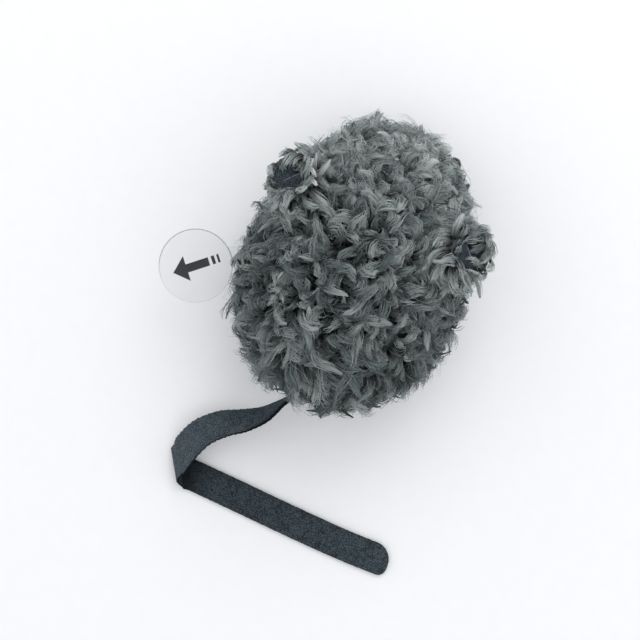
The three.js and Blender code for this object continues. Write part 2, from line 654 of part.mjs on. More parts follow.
function makeSwitchCan() {
  const radius = SWITCH_DIAMETER / 2;
  const bore = radius - SWITCH_WALL;
  const mouth = SWITCH_LENGTH / 2;
  const profile = [[0, -mouth], [radius, -mouth], [radius, mouth], [bore, mouth]];
  profile.push([bore, switchFloor], [0, switchFloor]);
  return onSwitch(turned(profile, 18));
}

function makeSwitchPlug() {
  const radius = SWITCH_DIAMETER / 2 - SWITCH_WALL - FIT;
  return onSwitch(bar(2 * radius, plugFace, SWITCH_LENGTH / 2, 18));
}

function makeBall() {
  const middle = (switchFloor + plugFace) / 2;
  return onSwitch(new THREE.SphereGeometry(BALL_DIAMETER / 2, 14, 10).translate(0, 0, middle));
}

// Leads from the board up to the sounder, each a short bent wire.
function makeLead(from, to, top) {
  const points = [
    new THREE.Vector3(...from, boardHigh + FIT),
    new THREE.Vector3(...from, boardHigh + (top - boardHigh) * 0.4),
    new THREE.Vector3(...to, top - (top - boardHigh) * 0.35),
    new THREE.Vector3(...to, top),
  ];
  const section = new THREE.Shape().absarc(0, 0, LEAD_DIAMETER / 2, 0, 2 * Math.PI, false);
  const path = new THREE.CatmullRomCurve3(points);
  const wire = { steps: 14, curveSegments: 4, bevelEnabled: false, extrudePath: path };
  return new THREE.ExtrudeGeometry(section, wire);
}

// Assembly

const mouse = new THREE.Group();
const pile = egg(-FIT);
const filling = egg(PLUSH_THICKNESS + FIT);
const halfSeam = SEAM_GAP / 2;
const eyes = { left: eyeParts(-1), right: eyeParts(1) };
let plushShell = tuftedEgg().subtract(egg(PLUSH_THICKNESS)).intersect(above(0));
for (const eye of Object.values(eyes)) plushShell = plushShell.subtract(eye.room).subtract(eye.hole);

const sides = plushShell.intersect(above(SEAM_HEIGHT + halfSeam)).subtract(tabWayInBody);
const leftSide = sides.intersect(leftOf(-halfSeam));
const rightSide = sides.intersect(rightOf(halfSeam));
const belly = plushShell.intersect(below(SEAM_HEIGHT - halfSeam)).subtract(tabWayInBody);
mouse.add(piece("plush_left_panel", leftSide, PLUSH));
mouse.add(piece("plush_right_panel", rightSide, PLUSH));
mouse.add(piece("plush_belly_panel", belly.subtract(tailPocket()), PLUSH));

const moduleLow = module.position.z - FIT;
const moduleHigh = module.position.z + coverHigh + FIT;
const moduleRoom = bar(2 * (caseRadius + FIT), moduleLow, moduleHigh).translate(MODULE_X, MODULE_Y, 0);
let wadding = filling.subtract(solid(moduleRoom)).subtract(sachet(FIT)).subtract(tabWayInBody);
for (const eye of Object.values(eyes)) wadding = wadding.subtract(eye.room).subtract(eye.hole);
const upperWad = wadding.intersect(above(SEAM_HEIGHT + halfSeam));
const lowerWad = wadding.intersect(below(SEAM_HEIGHT - halfSeam));
mouse.add(piece("stuffing_upper", upperWad, FIBRE));
mouse.add(piece("stuffing_lower", lowerWad, FIBRE));
mouse.add(piece("catnip_sachet", sachet(0), MUSLIN));

for (const [name, side] of [["left", -1], ["right", 1]]) {
  const ear = earParts(side, pile);
  mouse.add(piece(`ear_${name}_plush`, ear.plush, PLUSH));
  mouse.add(piece(`ear_${name}_lining`, ear.lining, SUEDE));
  mouse.add(piece(`eye_${name}`, eyes[name].bead, BLACK_GLOSS));
  mouse.add(piece(`eye_${name}_washer`, eyes[name].washer, WHITE_PLASTIC));
}
mouse.add(piece("nose_button", makeNose(pile), SUEDE));
mouse.add(piece("tail_strip", makeTail(), SUEDE));

module.add(piece("pull_tab", makeTab(), FILM));
module.add(piece("module_base", makeBase(), WHITE_PLASTIC));
module.add(piece("module_cover", makeCover(), WHITE_PLASTIC));
module.add(piece("circuit_board", makeBoard(), BOARD_GREEN));
module.add(piece("sound_chip", makeChip(), BLACK_GLOSS));
module.add(piece("contact_bus", makeBus(), STEEL));
SCREW_PLACES.forEach((x, i) => {
  module.add(piece(`cover_screw_${i + 1}`, makeScrew().translate(x, 0, 0), STEEL));
});
[[cellOffset, leafLow], [-cellOffset, tabLow]].forEach(([y, level], i) => {
  module.add(piece(`battery_cell_${i + 1}`, makeCell().translate(0, y, 0), STEEL));
  module.add(piece(`contact_leaf_${i + 1}`, makeLeaf(level).translate(0, y, 0), BRASS));
});
module.add(piece("motion_switch_can", makeSwitchCan(), STEEL));
module.add(piece("motion_switch_plug", makeSwitchPlug(), WHITE_PLASTIC));
module.add(piece("motion_ball", makeBall(), STEEL));
module.add(piece("piezo_plate", bar(PIEZO_DIAMETER, piezoLow, piezoHigh), BRASS));
module.add(piece("piezo_ceramic", bar(CERAMIC_DIAMETER, ceramicLow, ceramicHigh), CERAMIC));
const plateRim = (PIEZO_DIAMETER + CERAMIC_DIAMETER) / 4;
const leadFoot = cellOffset / 4;
const redTop = [0.8 * plateRim, -0.6 * plateRim];
const redFoot = [0.8 * plateRim, -0.3 * plateRim];
module.add(piece("lead_red", makeLead(redFoot, redTop, piezoLow - FIT), RED_WIRE));
const blackFoot = [-leadFoot, -leadFoot];
module.add(piece("lead_black", makeLead(blackFoot, [0, -leadFoot / 2], ceramicLow - FIT), BLACK_WIRE));

mouse.add(module);

export default mouse;
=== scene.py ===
"""Looks of the plush mouse: shaggy cover, suede ears and tail, pull tab, filling, sound module and studio.

Lengths in the classes are millimetres in the part's own frame: +Z up, +Y to the nose, +X to its right side.
"""
import logging
import math
from dataclasses import dataclass
from enum import Enum, IntEnum
from functools import cache
from typing import Iterable, Sequence, Union

import bmesh
import bpy
import numpy as np
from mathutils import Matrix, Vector

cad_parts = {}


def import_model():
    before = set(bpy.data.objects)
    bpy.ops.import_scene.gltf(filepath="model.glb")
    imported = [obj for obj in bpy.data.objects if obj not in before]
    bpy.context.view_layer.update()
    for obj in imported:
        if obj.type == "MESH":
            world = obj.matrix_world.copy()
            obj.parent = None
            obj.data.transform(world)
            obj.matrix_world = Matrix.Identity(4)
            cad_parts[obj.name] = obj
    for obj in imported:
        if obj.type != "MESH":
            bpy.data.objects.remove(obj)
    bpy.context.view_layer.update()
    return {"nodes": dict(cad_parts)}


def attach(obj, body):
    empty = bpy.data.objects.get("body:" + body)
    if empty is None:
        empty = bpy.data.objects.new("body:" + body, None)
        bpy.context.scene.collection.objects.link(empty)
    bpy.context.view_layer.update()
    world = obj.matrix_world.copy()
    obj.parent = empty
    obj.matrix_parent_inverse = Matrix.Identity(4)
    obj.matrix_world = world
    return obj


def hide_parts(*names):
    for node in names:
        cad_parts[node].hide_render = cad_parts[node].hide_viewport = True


LOG = logging.getLogger("plush_mouse")
MM = 0.001
TINY = 1e-9
BAKE_MAP = "OFBake"

Node = bpy.types.Node
Piece = bpy.types.Object
Socket = bpy.types.NodeSocket
Tree = bpy.types.NodeTree
Colour = tuple[float, float, float, float]
Number = Union["Field", float]
Qualities = dict[str, tuple[float, dict[str, float]]]


class Side(IntEnum):
    """The two sides of the mouse, as the sign of X."""

    LEFT = -1
    RIGHT = 1


class Patch(IntEnum):
    """The patches of plush that are combed and grown one at a time."""

    LEFT_SHOULDER = 1
    LEFT_HAUNCH = 2
    RIGHT_SHOULDER = 3
    RIGHT_HAUNCH = 4
    LEFT_CHEEK = 5
    RIGHT_CHEEK = 6
    LEFT_SKIRT = 7
    RIGHT_SKIRT = 8
    BELLY = 9


class Body(Enum):
    """The rigid bodies that pieces ride on."""

    MOUSE = "mouse"
    TAIL = "tail"
    EAR_LEFT = "ear_left"
    EAR_RIGHT = "ear_right"
    TAB = "pull_tab"


def paint(red: int, green: int, blue: int) -> Colour:
    """Turns a colour as a screen shows it into the linear colour that a shader takes.

    Args:
        red, green, blue: 0 to 255.

    Returns:
        The linear colour with full alpha.
    """
    def linear(value: int) -> float:
        """One channel."""
        share = value / 255
        return share / 12.92 if share <= 0.04045 else ((share + 0.055) / 1.055) ** 2.4

    return (linear(red), linear(green), linear(blue), 1.0)


def smooth_step(low: float, high: float, values: np.ndarray) -> np.ndarray:
    """Eases from 0 at low to 1 at high."""
    share = np.clip((values - low) / (high - low), 0.0, 1.0)
    return share * share * (3.0 - 2.0 * share)


def unit(vectors: np.ndarray) -> np.ndarray:
    """Scales each row to length one."""
    return vectors / np.maximum(np.linalg.norm(vectors, axis=-1, keepdims=True), TINY)


def bell(distance: np.ndarray, reach: float) -> np.ndarray:
    """Falls softly from 1 at no distance to about a third at this reach."""
    return np.exp(-((distance / reach) ** 2))


def told(qualities: Qualities, regions: dict[str, np.ndarray]) -> dict[str, np.ndarray]:
    """Works out the qualities of the pile at every point.

    Args:
        qualities: for each quality its plain value, and what each region adds to it.
        regions: how much each point belongs to a region, 0 to 1.

    Returns:
        The values by quality.
    """
    count = len(next(iter(regions.values())))
    values = {}
    for name, (plain, added) in qualities.items():
        values[name] = np.full(count, plain)
        for region, share in added.items():
            values[name] += share * regions[region]
    return values


class Field:
    """A number that a node tree works out, with the arithmetic that adds its nodes."""

    def __init__(self, net: "Net", socket: Socket) -> None:
        """Keeps the tree and the socket that puts the number out."""
        self.net = net
        self.socket = socket

    def combine(self, operation: str, *others: Number) -> "Field":
        """Adds one Math node.

        Args:
            operation: Blender's name of it.
            others: the values after this one.

        Returns:
            The node's result.
        """
        node = self.net.node("ShaderNodeMath", operation=operation)
        for socket, value in zip(node.inputs, (self, *others)):
            self.net.feed(socket, value)
        return Field(self.net, node.outputs[0])

    def __add__(self, other: Number) -> "Field":
        """The sum."""
        return self.combine("ADD", other)

    def __sub__(self, other: Number) -> "Field":
        """The difference."""
        return self.combine("SUBTRACT", other)

    def __mul__(self, other: Number) -> "Field":
        """The product."""
        return self.combine("MULTIPLY", other)

    def __truediv__(self, other: Number) -> "Field":
        """The quotient."""
        return self.combine("DIVIDE", other)

    def sine(self) -> "Field":
        """The sine of an angle in radians."""
        return self.combine("SINE")

    def cosine(self) -> "Field":
        """The cosine of an angle in radians."""
        return self.combine("COSINE")

    def at_least(self, low: Number) -> "Field":
        """The larger of this and a lower limit."""
        return self.combine("MAXIMUM", low)


class VectorField(Field):
    """A vector that a node tree works out."""

    def vector(self, operation: str, other: Union["VectorField", Number, None] = None) -> Node:
        """Adds one Vector Math node.

        Args:
            operation: Blender's name of it.
            other: the second vector, or the number to scale by.

        Returns:
            The node.
        """
        node = self.net.node("ShaderNodeVectorMath", operation=operation)
        self.net.feed(node.inputs[0], self)
        if operation == "SCALE":
            self.net.feed(node.inputs["Scale"], other)
        elif other is not None:
            self.net.feed(node.inputs[1], other)
        return node

    def __add__(self, other: "VectorField") -> "VectorField":
        """The sum."""
        return VectorField(self.net, self.vector("ADD", other).outputs[0])

    def __sub__(self, other: "VectorField") -> "VectorField":
        """The difference."""
        return VectorField(self.net, self.vector("SUBTRACT", other).outputs[0])

    def __mul__(self, other: Number) -> "VectorField":
        """This vector times a number."""
        return VectorField(self.net, self.vector("SCALE", other).outputs[0])

    def cross(self, other: "VectorField") -> "VectorField":
        """The cross product."""
        return VectorField(self.net, self.vector("CROSS_PRODUCT", other).outputs[0])

    def dot(self, other: "VectorField") -> Field:
        """The dot product."""
        return Field(self.net, self.vector("DOT_PRODUCT", other).outputs["Value"])

    def straightened(self) -> "VectorField":
        """The same direction at length one."""
        return VectorField(self.net, self.vector("NORMALIZE").outputs[0])

    def parts(self) -> list[Field]:
        """The three numbers of it.

        Returns:
            X, Y and Z.
        """
        node = self.net.node("ShaderNodeSeparateXYZ")
        self.net.feed(node.inputs[0], self)
        return [Field(self.net, socket) for socket in node.outputs]


class Net:
    """A node tree that is being written."""

    def __init__(self, tree: Tree) -> None:
        """Takes the tree to write in."""
        self.tree = tree

    def node(self, kind: str, inputs: dict | None = None, **settings: object) -> Node:
        """Adds a node.

        Args:
            kind: its class in Blender.
            inputs: values or sockets by input name or number.
            settings: its other properties.

        Returns:
            The new node.
        """
        made = self.tree.nodes.new(kind)
        for name, value in settings.items():
            setattr(made, name, value)
        self.fill(made, inputs or {})
        return made

    def fill(self, node: Node, inputs: dict) -> None:
        """Feeds several of a node's inputs, by name or number."""
        for key, value in inputs.items():
            self.feed(node.inputs[key], value)

    def feed(self, socket: Socket, value: object) -> None:
        """Links a value into a socket, or sets it there when it is a plain one.

        Args:
            socket: the input.
            value: a field, a socket or a plain value.
        """
        if isinstance(value, Field):
            value = value.socket
        if isinstance(value, Socket):
            self.tree.links.new(value, socket)
        else:
            socket.default_value = value

    def number(self, socket: Socket) -> Field:
        """Wraps a socket that puts out a number."""
        return Field(self, socket)

    def direction(self, socket: Socket) -> VectorField:
        """Wraps a socket that puts out a vector."""
        return VectorField(self, socket)

    def joined(self, x: Number, y: Number, z: Number) -> VectorField:
        """A vector from three numbers."""
        node = self.node("ShaderNodeCombineXYZ", {0: x, 1: y, 2: z})
        return VectorField(self, node.outputs[0])

    def eased(self, value: Number, points: Sequence[tuple[float, float]]) -> Field:
        """Passes a number from 0 to 1 through a drawn curve.

        Args:
            value: the number.
            points: the curve's points, the first at 0 and the last at 1.

        Returns:
            The curve's height there.
        """
        node = self.node("ShaderNodeFloatCurve", {"Value": value})
        drawn = node.mapping.curves[0].points
        drawn[0].location, drawn[1].location = points[0], points[-1]
        for place in points[1:-1]:
            drawn.new(*place)
        node.mapping.update()
        return Field(self, node.outputs[0])

    def stepped(self, value: Number, low: float, high: float) -> Field:
        """Eases a number from 0 at low to 1 at high.

        Args:
            value: the number.
            low: where the rise starts.
            high: where it ends.

        Returns:
            The eased number.
        """
        inputs = {"Value": value, "From Min": low, "From Max": high}
        node = self.node("ShaderNodeMapRange", inputs, interpolation_type="SMOOTHSTEP")
        return Field(self, node.outputs[0])

    def mixed(self, share: Number, first: object, second: object) -> Socket:
        """Mixes two colours and returns the socket of the result."""
        return self.node("ShaderNodeMix", {0: share, 6: first, 7: second}, data_type="RGBA").outputs[2]


class SharedEffects:
    """Shader node groups that several finishes use, each written the first time that it is asked for."""

    SPECK_GAIN = 4.0
    THREAD_UNEVENNESS = 0.4
    RISE = ((0, 0), (0.3, 0.35), (0.65, 0.9), (1, 1))

    @staticmethod
    def start(
        name: str, inputs: dict[str, object], outputs: Sequence[str]
    ) -> tuple[Net, dict[str, Socket], Node]:
        """Starts a group with its named sockets.

        Args:
            name: the group's name.
            inputs: a default for each input; a tuple of four is a colour, None a vector.
            outputs: the names of its outputs; Color is a colour, the others are numbers.

        Returns:
            The net, its input sockets by name, and its output node.
        """
        tree = bpy.data.node_groups.new(name, "ShaderNodeTree")
        for label, default in inputs.items():
            kind = "NodeSocketColor" if isinstance(default, tuple) else "NodeSocketFloat"
            kind = "NodeSocketVector" if default is None else kind
            socket = tree.interface.new_socket(name=label, in_out="INPUT", socket_type=kind)
            if default is not None:
                socket.default_value = default
        for label in outputs:
            kind = "NodeSocketColor" if label == "Color" else "NodeSocketFloat"
            tree.interface.new_socket(name=label, in_out="OUTPUT", socket_type=kind)
        net = Net(tree)
        sockets = {s.name: s for s in net.node("NodeGroupInput").outputs if s.name}
        return net, sockets, net.node("NodeGroupOutput")

    @staticmethod
    def noise(net: Net, given: dict[str, Socket], scale: str, detail: float) -> Field:
        """A noise from 0 to 1 over the group's vector, at one of its scales."""
        inputs = {"Vector": given["Vector"], "Scale": given[scale], "Detail": detail}
        return net.number(net.node("ShaderNodeTexNoise", inputs).outputs[0])

    @staticmethod
    @cache
    def mottle() -> Tree:
        """Blotches between a dark and a light colour, with fine specks over them.

        Returns:
            The group.
        """
        inputs = {"Vector": None, "Blotch Scale": 200.0, "Speck Scale": 3000.0, "Speck Share": 0.4}
        inputs |= {"Dark": paint(60, 60, 60), "Light": paint(120, 120, 120)}
        net, given, out = SharedEffects.start("mottle", inputs, ("Color", "Height"))
        blotch = SharedEffects.noise(net, given, "Blotch Scale", 3.0)
        specks = SharedEffects.noise(net, given, "Speck Scale", 3.0)
        blend = (specks - 0.5) * net.number(given["Speck Share"]) * SharedEffects.SPECK_GAIN + blotch
        limited = net.node("ShaderNodeClamp", {"Value": blend}).outputs[0]
        net.fill(out, {"Color": net.mixed(limited, given["Dark"], given["Light"]), "Height": specks})
        return net.tree

    @staticmethod
    @cache
    def grain() -> Tree:
        """Fine grain: a roughness that varies and a height for a bump.

        Returns:
            The group.
        """
        inputs = {"Vector": None, "Scale": 1500.0, "Smooth": 0.3, "Rough": 0.6}
        net, given, out = SharedEffects.start("grain", inputs, ("Roughness", "Height"))
        noise = SharedEffects.noise(net, given, "Scale", 4.0)
        low, high = net.number(given["Smooth"]), net.number(given["Rough"])
        net.fill(out, {"Roughness": low + (high - low) * noise, "Height": noise})
        return net.tree

    @staticmethod
    @cache
    def weave() -> Tree:
        """Plain weave: warp and weft threads that cross.

        Returns:
            The group.
        """
        net, given, out = SharedEffects.start("weave", {"Vector": None, "Thread Scale": 900.0}, ("Height",))
        wave = {"Vector": given["Vector"], "Scale": given["Thread Scale"]}
        wave |= {"Distortion": SharedEffects.THREAD_UNEVENNESS}
        crossing = [net.node("ShaderNodeTexWave", wave, bands_direction=axis) for axis in ("X", "Y")]
        warp, weft = (net.number(threads.outputs[1]) for threads in crossing)
        net.feed(out.inputs["Height"], warp.at_least(weft))
        return net.tree

    @staticmethod
    @cache
    def fibre() -> Tree:
        """The colour of a fibre, darkened towards its root as painted shade deep in the pile, with a tone of
        its own.

        Returns:
            The group.
        """
        inputs = {"Along": 0.0, "Tone": 0.5, "Root": paint(40, 40, 40)}
        inputs |= {"Shade": paint(90, 90, 90), "Tip": paint(170, 170, 170)}
        net, given, out = SharedEffects.start("fibre", inputs, ("Color",))
        body = net.mixed(given["Tone"], given["Shade"], given["Tip"])
        # the rise from the root: painted shade where the fibres shadow each other low in the pile
        risen = net.eased(net.number(given["Along"]), SharedEffects.RISE)
        net.feed(out.inputs["Color"], net.mixed(risen, given["Root"], body))
        return net.tree


@dataclass(frozen=True)
class Finish:
    """A finish: its name and how its material is written."""

    name: str

    def material(self) -> bpy.types.Material:
        """Gives the finish's material, which is written the first time.

        Returns:
            The material.
        """
        known = bpy.data.materials.get(self.name)
        if known is not None:
            return known
        made = bpy.data.materials.new(self.name)
        made.use_nodes = True
        net = Net(made.node_tree)
        self.write(net, made.node_tree.nodes["Principled BSDF"])
        return made

    def write(self, net: Net, shader: Node) -> None:
        """Writes the material's nodes round its Principled shader."""
        raise NotImplementedError

    @staticmethod
    def place(net: Net) -> Socket:
        """The point in the piece's own frame."""
        return net.node("ShaderNodeTexCoord").outputs["Object"]

    @staticmethod
    def carried(net: Net, name: str) -> Field:
        """A number that the mesh carries."""
        return net.number(net.node("ShaderNodeAttribute", attribute_name=name).outputs["Fac"])

    @staticmethod
    def use(net: Net, tree: Tree, inputs: dict[str, object]) -> Node:
        """Places a shared effect with this finish's values."""
        return net.node("ShaderNodeGroup", inputs, node_tree=tree)

    @staticmethod
    def bump(net: Net, shader: Node, height: object, strength: float, depth: float) -> None:
        """Raises the surface by a height from 0 to 1, times a depth in millimetres."""
        inputs = {"Height": height, "Strength": strength, "Distance": depth * MM}
        net.feed(shader.inputs["Normal"], net.node("ShaderNodeBump", inputs).outputs[0])


@dataclass(frozen=True)
class FibreFinish(Finish):
    """Fibres that carry how far along they are and a tone of their own."""

    # root: painted shade at the fibres' roots, deep in the pile
    root: Colour
    shade: Colour
    tip: Colour
    roughness: float = 0.7
    gloss: float = 0.2

    def write(self, net: Net, shader: Node) -> None:
        """Colours each fibre from its root, darkened as painted shade, to its tip.

        Args:
            net: the material's tree.
            shader: its Principled shader.
        """
        inputs = {"Along": self.carried(net, "along"), "Tone": self.carried(net, "tone")}
        inputs |= {"Root": self.root, "Shade": self.shade, "Tip": self.tip}
        colour = self.use(net, SharedEffects.fibre(), inputs).outputs["Color"]
        net.fill(shader, {"Base Color": colour, "Roughness": self.roughness})
        net.feed(shader.inputs["Specular IOR Level"], self.gloss)


@dataclass(frozen=True)
class SuedeFinish(Finish):
    """Brushed leather: a mottled nap with fine specks, dark where it is cut and in painted shade, pale in
    painted highlights.
    """

    dark: Colour
    light: Colour
    # cut: the colour of cut edges, also used for painted shade
    cut: Colour
    painted_highlight: Colour
    blotch: float = 420.0
    speck: float = 2800.0
    speck_share: float = 0.95
    relief: float = 0.8
    nap: float = 0.25
    roughness: float = 0.9
    gloss: float = 0.15

    def write(self, net: Net, shader: Node) -> None:
        """Mottles the nap, raises its specks, and colours it where it is cut, in painted shade and in painted
        highlights.

        Args:
            net: the material's tree.
            shader: its Principled shader.
        """
        inputs = {"Vector": self.place(net), "Blotch Scale": self.blotch, "Speck Scale": self.speck}
        inputs |= {"Speck Share": self.speck_share, "Dark": self.dark, "Light": self.light}
        nap = self.use(net, SharedEffects.mottle(), inputs)
        mark = self.carried(net, "mark")
        # a mark above 0 mixes in the painted highlight; a mark below 0 mixes in the cut colour, at cut edges
        # and in painted shade
        painted_highlight = net.mixed(mark.at_least(0.0), nap.outputs["Color"], self.painted_highlight)
        colour = net.mixed((mark * -1.0).at_least(0.0), painted_highlight, self.cut)
        self.bump(net, shader, nap.outputs["Height"], self.relief, self.nap)
        net.fill(shader, {"Base Color": colour, "Roughness": self.roughness})
        net.feed(shader.inputs["Specular IOR Level"], self.gloss)


@dataclass(frozen=True)
class ClothFinish(Finish):
    """Woven cloth in two thread tones."""

    dark: Colour
    light: Colour
    threads: float
    blotch: float = 150.0
    relief: float = 0.7
    depth: float = 0.2
    roughness: float = 0.95

    def write(self, net: Net, shader: Node) -> None:
        """Weaves the threads and tints them unevenly.

        Args:
            net: the material's tree.
            shader: its Principled shader.
        """
        vector = self.place(net)
        weave = self.use(net, SharedEffects.weave(), {"Vector": vector, "Thread Scale": self.threads})
        inputs = {"Vector": vector, "Blotch Scale": self.blotch, "Dark": self.dark, "Light": self.light}
        tint = self.use(net, SharedEffects.mottle(), inputs)
        self.bump(net, shader, weave.outputs["Height"], self.relief, self.depth)
        net.fill(shader, {"Base Color": tint.outputs["Color"], "Roughness": self.roughness})


@dataclass(frozen=True)
class GrainFinish(Finish):
    """A hard surface with a fine grain: moulded plastic, metal, ceramic, lacquer."""

    dark: Colour
    light: Colour
    smooth: float
    rough: float
    metal: float = 0.0
    grain: float = 1500.0
    depth: float = 0.02
    relief: float = 0.4
    speck_share: float = 0.15

    def write(self, net: Net, shader: Node) -> None:
        """Varies colour and roughness with the grain.

        Args:
            net: the material's tree.
            shader: its Principled shader.
        """
        vector = self.place(net)
        inputs = {"Vector": vector, "Scale": self.grain, "Smooth": self.smooth, "Rough": self.rough}
        grain = self.use(net, SharedEffects.grain(), inputs)
        inputs = {"Vector": vector, "Dark": self.dark, "Light": self.light, "Speck Share": self.speck_share}
        tint = self.use(net, SharedEffects.mottle(), inputs)
        self.bump(net, shader, grain.outputs["Height"], self.relief, self.depth)
        net.fill(shader, {"Base Color": tint.outputs["Color"], "Metallic": self.metal})
        net.feed(shader.inputs["Roughness"], grain.outputs["Roughness"])


@dataclass(frozen=True)
class FilmFinish(Finish):
    """Clear film: faint all over, with a fine line where its cut rim catches the light."""

    tint: Colour
    line: Colour
    centre: tuple[float, float]
    radius: float
    lit: tuple[float, float]
    lit_span: tuple[float, float] = (-0.7, 0.6)
    unlit: float = 0.2
    haze: float = 0.1
    rim: float = 0.6
    rim_inside: tuple[float, float] = (0.45, 0.05)
    rim_outside: float = 0.2
    scuff: float = 400.0
    smooth: float = 0.05
    rough: float = 0.2

    def write(self, net: Net, shader: Node) -> None:
        """Lets the ground show through, and draws the rim.

        Args:
            net: the material's tree.
            shader: its Principled shader.
        """
        vector = net.direction(self.place(net))
        x, y, _ = vector.parts()
        away = net.joined(x - self.centre[0] * MM, y - self.centre[1] * MM, 0.0)
        reach = away.dot(away).combine("SQRT")
        edge = net.stepped(reach, *((self.radius - inside) * MM for inside in self.rim_inside))
        beyond = net.stepped(reach, self.radius * MM, (self.radius + self.rim_outside) * MM)
        shown = net.stepped(away.dot(net.joined(*self.lit, 0.0)) / reach, *self.lit_span)
        rim = (edge - beyond).at_least(0.0) * (shown * (1 - self.unlit) + self.unlit)
        inputs = {"Vector": vector, "Scale": self.scuff, "Smooth": self.smooth, "Rough": self.rough}
        scuff = self.use(net, SharedEffects.grain(), inputs)
        looks = {"Base Color": net.mixed(rim, self.tint, self.line), "Roughness": scuff.outputs["Roughness"]}
        net.fill(shader, looks | {"Alpha": rim * (self.rim - self.haze) + self.haze})


class Finishes:
    """The finishes of this toy."""

    # the first colour of each fibre finish is the painted shade at its roots
    PLUSH = FibreFinish("plush_fibre", paint(16, 22, 23), paint(82, 95, 96), paint(206, 214, 213))
    # the undercoat is darker than the top coat: painted shade deep in the pile
    SHADED_UNDERCOAT = FibreFinish("undercoat_fibre", paint(16, 21, 22), paint(52, 60, 61), paint(104, 112, 113))
    PALE = FibreFinish("pale_fibre", paint(210, 210, 210), paint(235, 236, 238), paint(250, 250, 252))
    # the backing is dark: painted shade in the gaps between the locks
    SHADED_BACKING = ClothFinish("shaded_knit_backing", paint(26, 30, 31), paint(44, 49, 50), 700.0)
    NAP = ClothFinish("short_nap", paint(58, 64, 65), paint(92, 98, 99), 1500.0)
    SUEDE = SuedeFinish(
        "slate_suede", paint(27, 37, 43), paint(80, 91, 98), paint(14, 17, 20), paint(118, 128, 134))
    WADDING = ClothFinish("polyester_wadding", paint(214, 214, 208), paint(240, 240, 236), 260.0)
    MUSLIN = ClothFinish("sachet_muslin", paint(190, 178, 148), paint(224, 214, 188), 1300.0)
    BEAD = GrainFinish("black_bead", paint(8, 8, 9), paint(18, 18, 20), 0.05, 0.16, 0.0, 300.0, 0.004)
    PLASTIC = GrainFinish("case_plastic", paint(214, 211, 201), paint(232, 230, 222), 0.38, 0.58)
    BOARD = GrainFinish("board_mask", paint(20, 78, 44), paint(38, 108, 64), 0.3, 0.5)
    STEEL = GrainFinish(
        "nickel_steel", paint(168, 170, 174), paint(206, 208, 212), 0.18, 0.4, 1.0, 2400.0, 0.008)
    BRASS = GrainFinish(
        "spring_brass", paint(186, 146, 66), paint(218, 182, 100), 0.2, 0.42, 1.0, 2400.0, 0.008)
    CERAMIC = GrainFinish("fired_ceramic", paint(214, 205, 178), paint(236, 229, 206), 0.5, 0.75)
    RED_SLEEVE = GrainFinish("red_sleeve", paint(160, 30, 24), paint(196, 48, 38), 0.35, 0.55)
    BLACK_SLEEVE = GrainFinish("black_sleeve", paint(20, 20, 22), paint(40, 40, 43), 0.35, 0.55)
    INK = GrainFinish("black_ink", paint(24, 24, 27), paint(48, 48, 52), 0.5, 0.7)
    FLOOR = GrainFinish("white_floor", paint(250, 250, 252), paint(254, 254, 255), 0.85, 0.95, 0.0, 60.0, 0.0)


